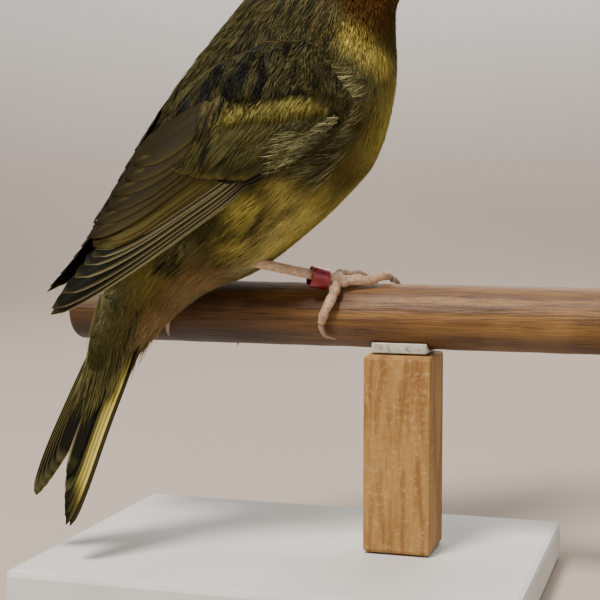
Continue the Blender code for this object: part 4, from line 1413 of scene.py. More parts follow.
arm_sheets = {}
for side, word in ((-1, "right"), (1, "left")):
    points, out, height, solid = arm_points(side)
    raised = points + out * height[..., None]
    arm_sheets[side] = Sheet(raised, ARM_ALONG, (0.0, 1.0), np.array((0.0, side, 0.0)))
    upper = points + out * solid[..., None]
    lower = points - out * 0.9
    dusky = {tint: 0.35 * (tint == "dark") for tint in TINTS}
    masks = np.tile(nine_masks(dusky, 0.35, 0.3, 0.5), (upper.size // 3 * 2, 1))
    quads = blade_faces(*upper.shape[:2])
    both = np.concatenate((upper.reshape(-1, 3), lower.reshape(-1, 3)))
    arm = mesh_piece("wing_arm_" + word, to_model(both), quads, plumage_soft, split_masks(masks))
    faces_out(arm)
    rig.ride(arm, "root")
    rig.replaces(arm, "wing_" + word)
    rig.slot(arm, "wing_feathers")
print("arms: pillow up to", round(float(height.max()), 1), "mm")


# %% [markdown]
# A covert is soft, so it is a wide tuft with a marking of its own: base, dark middle, fringe and tip. The
# shoulder's black spots are laid over the rows by place, because they run on from feather to feather.

# %% Tufts of the wing's coverts
def arm_place(points):
    """Wing coordinates as places on the arm's sheet, whose second number is a share of the width."""
    points = np.asarray(points, float)
    low, high = wing_width(points[:, 0])
    return np.stack((points[:, 0], (points[:, 1] - low) / (high - low)), axis=-1)


def feather_tints(base, centre=0.0, centre_width=0.35, fringe=None, tip=None):
    """A marking for one row of feathers: base tints, a dark middle, a fringe and a tip."""

    def tints(u, v, t, q, draw):
        shape = u.shape
        found = {}
        for tint in TINTS:
            uneven = draw.uniform(0.75, 1.15, (shape[0], 1, 1))
            found[tint] = np.full(shape, base.get(tint, 0.0)) * uneven
        if fringe:
            tint, strength = fringe
            rim = strength * np.maximum(step(np.abs(q), 0.45, 0.95), step(t, 0.72, 0.98))
            laid_over(found, tint, rim)
        if tip:
            tint, strength, start = tip
            end = strength * step(t, start, start + 0.12)
            laid_over(found, tint, end)
        if centre:
            narrow = centre_width * (1 - 0.5 * step(t, 0.5, 0.95))
            middle = centre * draw.uniform(0.7, 1.0, (shape[0], 1, 1))
            middle = middle * (1 - step(np.abs(q), 0.6 * narrow, 1.3 * narrow))
            middle = middle * (1 - step(t, 0.84, 0.94)) * step(t, 0.2, 0.35)
            laid_over(found, "dark", middle)
        return found

    return tints


# Black spots of the shoulder: along and across the wing, length and width in millimetres
SPOTS = (
    (9.7, 13.2, 5.0, 1.5), (13.4, 12.4, 5.5, 1.5), (16.8, 13.8, 5.0, 1.3), (7.4, 11.2, 3.6, 1.1),
    (5.0, 5.5, 2.6, 1.6), (8.1, 6.5, 2.4, 1.5), (19.9, 11.3, 4.4, 1.4), (25.0, 10.6, 4.4, 1.3),
    (5.6, 12.8, 3.6, 1.1), (11.0, 9.3, 3.4, 1.2), (21.4, 13.4, 4.0, 1.2), (1.3, 5.2, 2.2, 1.3),
    (15.0, 9.6, 3.2, 1.1), (2.6, 9.0, 2.8, 1.0), (24.7, 6.8, 3.6, 0.7), (28.9, 7.5, 3.4, 0.7),
    (12.4, 15.2, 4.0, 1.1), (4.6, 15.4, 4.0, 1.1), (0.5, 12.6, 3.0, 0.9),
)
SPOT_TURN = math.radians(-30.0)
SPOT_STRETCH = (1.7, 1.55)


def spotted(tints):
    """A row's marking with the shoulder's black spots over it."""

    def marked(u, v, t, q, draw):
        found = tints(u, v, t, q, draw)
        low, high = wing_width(u)
        across = low + (high - low) * v
        black = np.zeros(u.shape)
        for at, aside, length, width in SPOTS:
            run = (u - at) * math.cos(SPOT_TURN) + (across - aside) * math.sin(SPOT_TURN)
            rise = (across - aside) * math.cos(SPOT_TURN) - (u - at) * math.sin(SPOT_TURN)
            run = run * 2 / (length * SPOT_STRETCH[0])
            rise = rise * 2 / (width * SPOT_STRETCH[1])
            black = np.maximum(black, np.exp(-0.8 * (run**2 + rise**2) ** 2))
        laid_over(found, "dark", black)
        return found

    return marked


def tufts_between(batch, side, roots_and_tips, half, seed, **options):
    """Tufts on the arm from a root to a tip, both in wing coordinates."""
    sheet = arm_sheets[side]
    rows = np.array(roots_and_tips, float).reshape(-1, 4)
    run = rows[:, 2:] - rows[:, :2]
    places = arm_place(rows[:, :2])
    pace = sheet.at(places[:, 0], places[:, 1])[3]
    tips = arm_place(rows[:, 2:])
    lean = np.arctan2((tips[:, 1] - places[:, 1]) * pace[:, 1], (tips[:, 0] - places[:, 0]) * pace[:, 0])
    grow(batch, sheet, places, np.linalg.norm(run, axis=1), half, lean=lean, seed=seed, **options)


def row_of_tufts(line, count, back, rise):
    """Roots and tips of a row whose tips follow a line."""
    return [(tip[0] - back, tip[1] + rise, *tip) for tip in along_line(line, count)]


SHOULDER = feather_tints({"grey": 0.25, "tan": 0.05, "dark": 0.6}, 0.5, 0.3, ("tan", 0.22))
LOWER = feather_tints({"grey": 0.3, "dark": 0.5}, 0.3, 0.4, ("grey", 0.5))
GREATER = feather_tints(
    {"yellow": 0.06, "dark": 0.5, "grey": 0.05}, 0.6, 0.12, ("yellow", 0.1), ("tan", 0.45, 0.94)
)
MEDIAN = feather_tints({"yellow": 0.25, "dark": 0.1}, 0.3, 0.3, ("yellow", 0.24))
ENDS = feather_tints(
    {"grey": 0.1, "tan": 0.12, "dark": 0.6}, 0.7, 0.3, ("tan", 0.3), ("pale", 0.4, 0.9)
)
# Lines that the tips of these rows follow, then their count and how far back and up their roots lie
LOWER_ROWS = (
    (((10.0, -2.6), (14.5, -1.0), (19.0, 0.2), (23.0, 1.2)), 9, 10.5, 2.0),
    (((4.0, -3.2), (7.0, -2.4), (11.0, -1.2), (15.0, 0.4)), 9, 7.5, 2.0),
    (((1.0, -2.0), (4.0, -0.8), (8.0, 0.6), (12.0, 2.0)), 9, 5.0, 2.0),
)
FRONT_ROWS = (
    (((-0.5, -2.5), (1.8, -0.4), (3.6, 2.2), (4.6, 5.4), (4.2, 9.0)), 13, 4.4, 1.0),
    (((-1.8, -1.0), (0.2, 1.6), (1.6, 4.6), (1.6, 8.0)), 10, 3.2, 0.6),
)
END_TIPS = ((30.6, 7.4), (31.6, 9.4), (31.0, 11.4), (29.4, 12.9))
STRAND = 0.12


def shoulder_line(row):
    """The line of tips of one row of the short shoulder feathers."""
    front = (1.2 - 1.3 * row, 2.2 + 2.1 * row)
    return front, (7.0 - 0.6 * row, 5.2 + 1.8 * row), (15.6, 8.9 + 1.3 * row)


def scapular_line(row):
    """The line of tips of one row of the long feathers over the wing's root."""
    front = (14.5 + 1.0 * row, 9.6 + 1.1 * row)
    return front, (21.5 + 0.8 * row, 11.4 + 0.9 * row), (28.0, 12.2 + 0.4 * row)


for side, batch in ((-1, "wing_right"), (1, "wing_left")):
    lower = [tuft for row in LOWER_ROWS for tuft in row_of_tufts(*row)]
    tufts_between(batch, side, lower, 1.2, 70, width=STRAND, strands=15, rings=5, sink=0.3, lift=0.3,
                  wave=0.25, tints=LOWER)
    greater = row_of_tufts(GREATER_TIPS, 17, 13.5, 3.4)
    near = [(tip[0] - 5.0, tip[1] + 1.2) for tip in GREATER_TIPS]
    greater += row_of_tufts(near, 15, 10.5, 3.0)
    tufts_between(batch, side, greater, 1.6, 71, width=0.13, strands=19, rings=6, sink=0.2, lift=0.3,
                  wave=0.15, tints=spotted(GREATER))
    median = row_of_tufts(MEDIAN_TIPS, 19, 5.6, 2.4)
    tufts_between(batch, side, median, 1.4, 72, width=STRAND, strands=17, rings=4, sink=0.2, lift=0.55,
                  wave=0.2, tints=MEDIAN)
    shoulder = []
    for row in range(5):
        shoulder += row_of_tufts(shoulder_line(row), 9 - row % 2, 5.4, 2.6)
    tufts_between(batch, side, shoulder, 1.7, 73, width=STRAND, strands=17, rings=4, sink=0.2, lift=0.6,
                  wave=0.2, tints=spotted(SHOULDER))
    front = [tuft for row in FRONT_ROWS for tuft in row_of_tufts(*row)]
    tufts_between(batch, side, front, 1.5, 76, width=STRAND, strands=15, rings=4, sink=0.3, lift=0.5,
                  wave=0.25, tints=SHOULDER)
    long_scapulars = []
    for row in range(4):
        long_scapulars += row_of_tufts(scapular_line(row), 7 - row % 2, 8.4, 3.2)
    ends = row_of_tufts(END_TIPS, 9, 9.5, 3.0)
    tufts_between(batch, side, ends, 1.7, 75, width=STRAND, strands=19, rings=6, sink=0.1, lift=0.45,
                  wave=0.2, tints=ENDS)
    tufts_between(batch, side, long_scapulars, 2.0, 74, width=STRAND, strands=19, rings=5, sink=0.1,
                  lift=0.7, wave=0.2, tints=spotted(SHOULDER))
    join_coat(batch, plumage_soft, "wing_feathers")


# %% [markdown]
# Feathers grow in staggered rows. Ring by ring, roots are set at an even gap round the body, and how far
# each one lies under a wing decides which tuft it gets.

# %% Rows of roots over the body
def roots(low, high, gap, seed=5):
    """Staggered rows of places on the body, gap millimetres apart, shaken a little."""
    draw = np.random.default_rng(seed)
    found = []
    place, row = low, 0
    while place < high:
        ring = body_at(np.full(97, place), np.linspace(-math.pi, math.pi, 97))
        around = float(np.linalg.norm(np.diff(ring, axis=0), axis=-1).sum())
        count = max(int(around / gap), 8)
        angle = (np.arange(count) + 0.5 * (row % 2)) / count * 2 * math.pi - math.pi
        found.append(np.stack((np.full(count, place), angle), axis=-1))
        pace = body_sheet.at(np.full(24, place), np.linspace(-3, 3, 24))[3][:, 0]
        place += gap * 0.85 / float(pace.mean())
        row += 1
    found = np.concatenate(found)
    found += draw.normal(0, 0.18, found.shape) * gap / body_sheet.at(found[:, 0], found[:, 1])[3]
    return found[found[:, 0] >= 0]


def depth_in_wing(places):
    """How many millimetres inside a wing's outline each root lies, seen from the side."""
    points = body_at(places[:, 0], places[:, 1])
    return np.where(points[:, 1] < 0, inside_wing(points, -1), inside_wing(points, 1))


def body_lean(place, angle):
    """How far the feathers turn from the body's own lie, towards the back where positive, in radians."""
    turn = np.degrees(np.abs(angle))
    breast = 0.75 * np.exp(-((turn - 98) / 18) ** 2 - ((place - 9.6) / 0.55) ** 2)
    flank = 0.22 * step(turn, 60, 85) * (1 - step(turn, 130, 165))
    flank = flank * step(place, 10.2, 11.0) * (1 - step(place, 13.2, 14.5))
    mantle = -0.2 * step(turn, 8, 25) * (1 - step(turn, 60, 85))
    mantle = mantle * step(place, 8.2, 9.0) * (1 - step(place, 12.0, 13.5))
    return -np.sign(angle) * (breast + flank + mantle)


def coat_tints(u, v, t, q, draw):
    """The body's tints on a fine tuft, with dark strands here and there."""
    found = body_tints(u, v)
    turn = np.degrees(np.abs(v))
    mantle = (1 - step(turn, 50, 90)) * step(u, 6.5, 8.0) * (1 - step(u, 12.3, 13.4))
    found["dark"] = np.maximum(found["dark"], 0.35 * mantle)
    crown = (1 - step(turn, 30, 60)) * step(u, 1.5, 3.0) * (1 - step(u, 6.5, 8.0))
    flank = step(turn, 74, 86) * (1 - step(turn, 104, 122))
    flank = flank * step(u, 10.6, 11.4) * (1 - step(u, 13.0, 14.0))
    chance = draw.uniform(0, 1, (u.shape[0], 1, 1))
    streak = np.exp(-((q / 0.5) ** 2)) * (1 - step(t, 0.8, 1.0))
    dark = streak * (0.6 * crown + 0.9 * flank * (chance > 0.6))
    found["dark"] = np.maximum(found["dark"], dark)
    for tint in ("yellow", "grey", "tan", "pale", "rust"):
        found[tint] = found[tint] * (1 - 0.85 * dark)
    return found


# %% [markdown]
# The feathers of the face are the smallest. They are a millimetre long at the bill, leave the eye free,
# and get longer towards the nape.

# %% Face and crown
EYE_PLACE = turned(np.array((12.6, 0.0, 79.4)), 1.0)
face = roots(0.25, 6.6, 0.72, seed=31)
beside = body_at(face[:, 0], face[:, 1]) - EYE_PLACE
from_eye = np.hypot(beside[:, 0], beside[:, 2])
turn = np.degrees(np.abs(face[:, 1]))
face = face[(from_eye > 2.5) | (turn < 40) | (turn > 140)]
size = 1.0 + 1.3 * step(face[:, 0], 0.5, 5.0)
width = (0.05 + 0.04 * size)[:, None, None]
grow("head", body_sheet, face, size, 0.35 * size, width, coat_tints, strands=5, rings=3, lift=0.14,
     sink=0.35, wave=0.03, seed=32)
join_coat("head", plumage_soft, "plumage_head")

# %% [markdown]
# The breast and flanks have long loose feathers that lie close. Those under the wings have fewer strands
# and lie flat.

# %% The neck and body
body_roots = roots(6.5, 14.9, 1.2, seed=41)
depth = depth_in_wing(body_roots)
behind = body_roots[:, 0] > 11.2
covered = body_roots[(depth >= 1.5) & (depth < 6.5) | behind & (depth > -1.0)]
body_roots = body_roots[(depth < 1.5) & ~(behind & (depth > -1.0))]
place, turn = body_roots[:, 0], np.abs(np.degrees(body_roots[:, 1]))
size = 3.4 + 2.6 * step(place, 7.5, 9.5) + 2.0 * step(turn, 70, 100) * step(place, 9.0, 9.8)
grow("body", body_sheet, body_roots, size, 0.8 + 0.05 * size, 0.105, coat_tints, lift=0.25, sink=0.8,
     lean=body_lean(body_roots[:, 0], body_roots[:, 1]), wave=0.16, over=0.3, seed=42)
grow("body", body_sheet, covered, 6.5, 1.2, 0.11, coat_tints, strands=8, lift=-0.1, sink=0.8, wave=0.16,
     seed=43, lean=body_lean(covered[:, 0], covered[:, 1]))

# %% [markdown]
# The back has broad feathers with a black middle and lighter sides, which line up into streaks.

# %% The streaked feathers of the back
back = roots(8.0, 13.6, 2.7, seed=45)
turn = np.degrees(np.abs(back[:, 1]))
inside = depth_in_wing(back)
back = back[(turn < 78) & (inside < 3.0) & ((back[:, 0] < 10.6) | (inside < -2.5))]
grow("body", body_sheet, back, 7.4, 1.9, 0.13, strands=17, rings=5, lift=0.45, sink=0.2, wave=0.12,
     over=0.45, seed=46, lean=body_lean(back[:, 0], back[:, 1]),
     tints=feather_tints({"grey": 0.3, "tan": 0.08, "dark": 0.45}, 1.0, 0.4, ("tan", 0.28)))

# %% [markdown]
# At the bend of the wing, thin grey wisps of the breast sweep back over the coverts. They are long, and
# some of their strands are nearly white.

# %% Wisps of the breast that sweep back over the wing
draw = np.random.default_rng(47)
wisps = np.stack((draw.uniform(9.0, 10.7, 120), draw.uniform(-116, -84, 120)), axis=-1)
wisps = np.concatenate((wisps, wisps * (1, -1)))
wisps[:, 1] = np.radians(wisps[:, 1])


def wisp_tints(u, v, t, q, draw):
    """Grey and buff strands, some nearly white, some dark."""
    found = body_tints(u, v)
    chance = draw.uniform(0, 1, (u.shape[0], u.shape[1], 1)) + 0 * t
    found["grey"] = np.maximum(found["grey"], 0.8 * (chance < 0.6))
    found["pale"] = np.maximum(found["pale"], 0.45 * (chance > 0.75))
    found["dark"] = np.maximum(found["dark"], 0.75 * ((chance > 0.3) & (chance < 0.45)))
    return found


length = draw.uniform(7.0, 11.0, len(wisps))
lean = -np.sign(wisps[:, 1]) * draw.uniform(0.6, 1.05, len(wisps))
grow("body", body_sheet, wisps, length, 1.6, 0.11, wisp_tints, strands=7, rings=6, lift=0.6, sink=0.4,
     lean=lean, wave=0.3, over=0.6, seed=48)

# %% [markdown]
# Behind the legs the coat turns pale brown and narrows to the tail.

# %% The vent and the undertail
vent_roots = roots(14.6, 16.9, 1.2, seed=51)
size = 5.5 + 2.0 * step(np.abs(np.degrees(vent_roots[:, 1])), 80, 130)
grow("body", body_sheet, vent_roots, size, 0.2 * size, 0.12, coat_tints, lift=0.35, wave=0.15, seed=52)
join_coat("body", plumage_soft, "plumage_breast")

# %% [markdown]
# Long coverts close the step between the body and the tail, above and below. They are grown on the tail's
# own sheet, so that their points lie along it.

# %% Coverts over and under the tail's root
RUMP = feather_tints({"grey": 0.45, "yellow": 0.2, "dark": 0.3}, 0.8, 0.3, ("grey", 0.6))
UNDER = feather_tints({"tan": 0.75, "pale": 0.12}, 0.0, 0.3, ("pale", 0.2))
# Each row: place along the tail, length, and how high the points stand over the tail
COVERT_ROWS = ((1.0, 13.0, 3.4), (4.5, 12.5, 2.6), (8.0, 12.5, 1.8), (11.5, 12.0, 1.1), (13.0, 13.0, 0.7))
covert_places = []
covert_shapes = []
for along, length, rise in COVERT_ROWS:
    for across in np.linspace(-1, 1, 7):
        covert_places.append((along, across * (5.6 - 0.2 * along)))
        short = 0.7 if across < -0.4 else 1.0
        reach = length * short * (1 - 0.12 * abs(across))
        depth = (6.4 - 0.26 * along) * (1 - 0.45 * across**2)
        covert_shapes.append((reach, rise * (1 - 0.4 * across**2), depth))
covert_places = np.array(covert_places)
length, rise, depth = np.array(covert_shapes).T
rise = rise[:, None, None]
depth = depth[:, None, None]
grow("tail", tail, covert_places, length, 1.7, 0.13, strands=19, rings=6, sink=-depth, lift=rise,
     wave=0.15, seed=53, tints=RUMP)
grow("tail", tail, covert_places, length * 0.85, 1.9, 0.13, strands=19, rings=6, sink=depth, lift=-rise,
     wave=0.2, seed=54, tints=UNDER)
join_coat("tail", plumage_soft, "tail_feathers")

# %% [markdown]
# ## The eyes
# A canary's eye is nearly black, a ball that is mostly inside the head. Only a round window of it shows
# between the lids, with a wet gloss over a very dark brown iris. The ball is a sphere with a slight bulge
# for the cornea, and the lids are a soft ring spun round the direction in which the eye looks.

# %% Eyeballs and lids
EYE_AT = (12.6, 7.0, 79.4)
EYE_RADIUS = 2.5
EYE_SET_IN = 1.15
LID_RISE = 1.5
LID_WIDTH = 0.3

eye_finish = Finish("eye", roughness=0.04, Specular_IOR_Level=0.7, Coat_Weight=1.0, Coat_Roughness=0.02)
iris = eye_finish.masks("look")[0]
eye_colour = eye_finish.mix((0.018, 0.009, 0.005), (0.002, 0.002, 0.002), iris.ramp(0.86, 0.89))
eye = eye_finish.paint(eye_finish.mix(eye_colour, (0.07, 0.05, 0.04), iris.ramp(0.42, 0.3)))

lid_finish = Finish("lid_skin", roughness=0.5, Specular_IOR_Level=0.4)
lid_noise = lid_finish.noise(lid_finish.place(), 3000.0)
lid_colour = lid_finish.mix((0.09, 0.07, 0.055), (0.25, 0.20, 0.15), lid_noise.ramp(0.4, 0.7))
lid = lid_finish.paint(lid_colour, height=lid_noise, depth=0.0001)


def spin_round(form, centre, axis, steps):
    """Spins what a bmesh holds once round an axis, and joins the end to the start."""
    geom = form.verts[:] + form.edges[:]
    bmesh.ops.spin(
        form, geom=geom, cent=Vector(centre), axis=Vector(axis), dvec=(0, 0, 0), angle=2 * math.pi,
        steps=steps, use_merge=True, use_duplicate=False
    )


def eye_frame(side):
    """The centre of an eye and three directions: out of the eye, forward over it, and up."""
    forward, left, up = EYE_AT
    centre = turned(np.array((forward, side * (left - EYE_SET_IN), up)), 1.0)
    ahead = turned(np.array((forward + 0.25, side * (left + 1.0), up)), 1.0)
    look = unit((ahead - centre) @ AXES)
    over = unit(np.array(UP) - look * np.dot(UP, look))
    return to_model(centre), look, np.cross(over, look), over


for side, name in ((-1, "right"), (1, "left")):
    centre, look, ahead, over = eye_frame(side)
    form = bmesh.new()
    bmesh.ops.create_uvsphere(form, u_segments=48, v_segments=32, radius=EYE_RADIUS * MM)
    for vertex in form.verts:
        facing = vertex.co.normalized().dot(Vector(look))
        vertex.co *= 1 + 0.05 * float(step(np.array(facing), 0.55, 0.95))
    bmesh.ops.translate(form, verts=form.verts, vec=Vector(centre))
    ball = form_piece("eyeball_" + name, form, eye, sharp=180)
    spokes = unit(np.array([v.co for v in ball.data.vertices]) - centre) @ look
    layer = ball.data.attributes.new("look", "FLOAT_VECTOR", "POINT")
    layer.data.foreach_set("vector", np.stack((spokes, spokes, spokes), axis=-1).astype(np.float32).ravel())
    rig.ride(ball, "root")
    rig.replaces(ball, "eye_" + name)
    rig.slot(ball, "eye")
    form = bmesh.new()
    rim = math.sqrt(EYE_RADIUS**2 - LID_RISE**2) + 0.1
    bmesh.ops.create_circle(form, segments=12, radius=LID_WIDTH * MM)
    for vertex in form.verts:
        x, y, _ = vertex.co
        vertex.co = Vector(centre) + Vector(look) * (LID_RISE * MM + y) + Vector(ahead) * (rim * MM + x)
    spin_round(form, centre, look, 48)
    for vertex in form.verts:
        height = (vertex.co - Vector(centre)).dot(Vector(over))
        vertex.co -= Vector(over) * height * 0.08
    lids = form_piece("lids_" + name, form, lid, sharp=180)
    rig.ride(lids, "root")
    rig.slot(lids, "plumage_head")
    print(name, "eye at", [round(float(c) * 1000, 1) for c in centre])

# %% [markdown]
# ## The bill
# The bill is two halves of a short cone. Each starts as a cylinder whose points are moved onto the curve
# of a finch's bill: a ridge along the top, sides that bow out, a slight droop, and a nostril near the root
# that is half hidden by small feathers. Horn is pinkish, a little clearer at the edges and dusky on top.

# %% Two halves of horn
BILL_ROOT = (20.1, 77.0)
BILL_BACK = 1.6
NOSTRIL = (2.0, 2.55)

horn_finish = Finish(
    "bill_horn",
    roughness=0.38,
    Subsurface_Weight=0.15,
    Subsurface_Radius=(1.0, 0.4, 0.25),
    Subsurface_Scale=0.001,
)
horn_mask, nostril_shade_mask, edge_mask = horn_finish.masks("horn")
horn_noise = horn_finish.noise(horn_finish.place(scale=(1, 1, 1)), 700.0, 4.0)
dusky_horn = (horn_mask * 0.8 + horn_noise.ramp(0.45, 0.75) * 0.25).kept()
horn_colour = horn_finish.mix((0.62, 0.40, 0.27), (0.30, 0.17, 0.11), dusky_horn)
horn_colour = horn_finish.mix(horn_colour, (0.72, 0.50, 0.34), edge_mask)
# The nostril's opening is painted near black, as painted shade in the hole.
horn_colour = horn_finish.mix(horn_colour, (0.02, 0.012, 0.01), nostril_shade_mask)
horn = horn_finish.paint(horn_colour, (horn_noise * 0.3 + 0.25).kept(), horn_noise, depth=0.00005)


def bill_piece(name, sign, height, length):
    """One half of the bill, above or below the line of the mouth."""
    form = bmesh.new()
    bmesh.ops.create_cone(form, cap_ends=True, segments=48, radius1=1.0, radius2=1.0, depth=1.0)
    long_edges = [edge for edge in form.edges if abs(edge.verts[0].co.z - edge.verts[1].co.z) > 0.5]
    bmesh.ops.subdivide_edges(form, edges=long_edges, cuts=26, use_grid_fill=True)
    marks = []
    for vertex in form.verts:
        x, y, z = vertex.co
        t = (z + 0.5) ** 1.15
        angle = math.atan2(y, x)
        reach = max(1 - t, 0.0)
        half_width = 3.2 * (0.96 if sign < 0 else 1.0) * reach**0.8 + 0.1
        tall = height * reach ** (0.74 if sign > 0 else 0.8) + 0.12
        along = BILL_ROOT[0] - BILL_BACK + (length + BILL_BACK + 0.4) * t
        line = BILL_ROOT[1] + 0.1 - 0.6 * t * t - 0.25 * max(0.3 - t, 0) * 4
        high = max(math.sin(angle), -0.12) * tall
        ridge = 0.12 * math.exp(-((math.cos(angle) / 0.2) ** 2)) * (math.sin(angle) > 0) * reach
        out = half_width * math.cos(angle)
        place = np.array((along, out, line + sign * (0.06 + high + ridge)))
        rise = line + sign * high
        pit = math.hypot(along - BILL_ROOT[0] - NOSTRIL[0], (rise - BILL_ROOT[1] - NOSTRIL[1]) * 1.5)
        hole = math.exp(-((pit / 0.42) ** 2)) * (abs(out) > 0.8) * (sign > 0)
        place[1] *= 1 - 0.22 * hole
        vertex.co = Vector(to_model(turned(place, 1.0)))
        dusk = max(math.sin(angle), 0) ** 3 * (0.9 if sign > 0 else 0.2)
        marks.append((dusk * (0.4 + 0.6 * t), hole, 0.6 * (abs(math.sin(angle)) < 0.15)))
    layer = form.verts.layers.float_vector.new("horn")
    for vertex, mark in zip(form.verts, marks):
        vertex[layer] = mark
    piece = form_piece(name, form, horn, sharp=60)
    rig.ride(piece, "root")
    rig.slot(piece, "bill_horn")
    return piece


bill_upper = bill_piece("horn_upper", 1, 3.7, 8.6)
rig.replaces(bill_upper, "bill_upper")
bill_lower = bill_piece("horn_lower", -1, 2.9, 7.7)
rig.replaces(bill_lower, "bill_lower")
print("bill:", triangles(bill_upper), triangles(bill_lower))

# %% [markdown]
# ## Legs and feet
# A bird's foot is covered in plates: a row of broad ones down the front of the shank and the top of each
# toe, and soft pads under the toes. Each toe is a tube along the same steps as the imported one, with its
# surface raised and lowered by the plates, and with swellings at the joints.

# %% Tubes along a path
PERCH_RADIUS = 6.35
PALM_OUT = PERCH_RADIUS + 1.95
LEFT_FOOT = -31.0


def round_perch(along, angle, out):
    """Points round the perch in millimetres: along it, degrees from its top, and out from its axis."""
    turn = np.radians(angle)
    along, turn, out = np.broadcast_arrays(np.asarray(along, float), turn, np.asarray(out, float))
    return PERCH_AXIS + np.stack((along, out * np.sin(turn), out * np.cos(turn)), axis=-1)


def swept(centres, radius, top, sides=24):
    """A closed tube in a bmesh. radius(t, angle) gives its size in millimetres and top its upper side."""
    form = bmesh.new()
    rings = len(centres)
    bmesh.ops.create_grid(form, x_segments=sides, y_segments=rings - 1, size=1.0)
    run = unit(np.gradient(centres, axis=0))
    up = unit(top - run * np.sum(top * run, axis=-1, keepdims=True))
    side = np.cross(run, up)
    marks = []
    for vertex in form.verts:
        t = min(max((vertex.co.y + 1) / 2, 0.0), 1.0)
        angle = (vertex.co.x + 1) * math.pi
        ring = round(t * (rings - 1))
        size = radius(t, angle)
        place = centres[ring] + (up[ring] * math.cos(angle) + side[ring] * math.sin(angle)) * size
        vertex.co = Vector(place * MM)
        marks.append((t, math.cos(angle), 0))
    layer = form.verts.layers.float_vector.new("tube")
    for vertex, mark in zip(form.verts, marks):
        vertex[layer] = mark
    bmesh.ops.remove_doubles(form, verts=form.verts, dist=2e-7)
    open_edges = [edge for edge in form.edges if edge.is_boundary]
    bmesh.ops.holes_fill(form, edges=open_edges, sides=0)
    return form


def add_form(target, source):
    """Adds one bmesh's faces to another."""
    mesh = bpy.data.meshes.new("part")
    bmesh.ops.recalc_face_normals(source, faces=source.faces)
    if source.calc_volume(signed=True) < 0:
        bmesh.ops.reverse_faces(source, faces=source.faces)
    source.to_mesh(mesh)
    source.free()
    target.from_mesh(mesh)
    bpy.data.meshes.remove(mesh)


def plates(t, count, rise):
    """A row of overlapping plates: each swells up slowly and drops off at its end."""
    part = (t * count) % 1.0
    return rise * (0.25 + 0.75 * part**0.6) * min((1 - part) / 0.14, 1.0)


print("tube helpers ready")

# %% [markdown]
# Leg skin is a little clear, so light goes into it. Its colour is broken up by small cells, with darker
# lines between them. Claws are horn that darkens to the tip.

# %% Leg finishes
leg_finish = Finish(
    "leg_skin",
    roughness=0.5,
    Subsurface_Weight=0.2,
    Subsurface_Radius=(1.0, 0.45, 0.3),
    Subsurface_Scale=0.0012,
)
leg_place = leg_finish.place()
leg_noise = leg_finish.noise(leg_place, 900.0, 4.0)
leg_broad = leg_finish.noise(leg_place, 220.0, 2.0)
leg_colour = leg_finish.mix((0.56, 0.34, 0.20), (0.80, 0.57, 0.37), leg_noise.ramp(0.35, 0.7))
leg_colour = leg_finish.mix(leg_colour, (0.27, 0.13, 0.085), (leg_broad.ramp(0.5, 0.72) * 0.6).kept())
settings = {"feature": "DISTANCE_TO_EDGE"}
cells = leg_finish.add("ShaderNodeTexVoronoi", settings, {"Vector": leg_place, "Scale": 2300.0})
groove = Field(leg_finish, cells.outputs[0]).ramp(0.02, 0.14)
leg_colour = leg_finish.mix(leg_colour, (0.20, 0.10, 0.065), ((1 - groove) * 0.45).kept())
leg_height = groove * 0.7 + leg_noise * 0.5
leg_skin = leg_finish.paint(leg_colour, (leg_noise * 0.3 + 0.3).kept(), leg_height, depth=0.00012)

claw_finish = Finish(
    "claw_horn",
    roughness=0.3,
    Subsurface_Weight=0.15,
    Subsurface_Radius=(1.0, 0.5, 0.3),
    Subsurface_Scale=0.001,
)
claw_t = claw_finish.masks("tube")[0]
claw_noise = claw_finish.noise(claw_finish.place(), 1200.0)
towards_tip = (claw_t * 0.8 + claw_noise * 0.3 - 0.1).kept()
claw_colour = claw_finish.mix((0.42, 0.27, 0.18), (0.13, 0.075, 0.05), towards_tip)
claw_horn = claw_finish.paint(claw_colour, (claw_noise * 0.2 + 0.2).kept(), claw_noise, depth=0.00004)
print("leg finishes ready")

# %% [markdown]
# The shank is bone and sinew under plates, with almost no flesh. It is a straight tube with eleven plates
# down its front.

# %% Shanks
RIGHT_PALM = round_perch(1.5, -29.0, PALM_OUT)
LEFT_PALM = round_perch(LEFT_FOOT + 1.5, -22.0, PALM_OUT)
RIGHT_ANKLE = to_model((-20.0, -8.9, 12.2)) / MM
LEFT_ANKLE = to_model((-35.0, 9.8, 19.0)) / MM
SHANK_RADII = (0.95, 0.95, 1.0, 1.15)


def make_shank(name, palm, ankle):
    """A shank with broad plates down its front."""
    t = np.linspace(0, 1, 90)
    run = palm - ankle
    centres = (ankle - unit(run) * 1.5) + (run + unit(run) * 1.2) * t[:, None]
    top = np.tile(np.array((0.0, 0.0, 1.0)), (len(t), 1))

    def radius(t, angle):
        size = float(np.interp(t, (0, 0.2, 0.75, 1.0), SHANK_RADII))
        front = max(math.cos(angle), 0) ** 0.5
        return size * 0.95 + plates(t, 11, 0.13) * front + 0.03 * math.sin(angle * 5 + t * 40)

    piece = form_piece("scaled_" + name, swept(centres, radius, top), leg_skin, sharp=60)
    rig.ride(piece, "root")
    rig.replaces(piece, name)
    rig.slot(piece, "leg_skin")
    return piece


for name, palm, ankle in (("right", RIGHT_PALM, RIGHT_ANKLE), ("left", LEFT_PALM, LEFT_ANKLE)):
    shank = make_shank("shank_" + name, palm, ankle)
    print(shank.name + ":", triangles(shank), "triangles")

# %% [markdown]
# Three toes grip over the perch and one from behind. Each toe is swept along places on the rod, given by
# the length along it and the turn round it, so that it lies against the wood.

# %% Toes and claws
TOE_RADIUS = 1.08
CLAW_RADIUS = 0.5
CLAW_GAP_TURN = 4.5
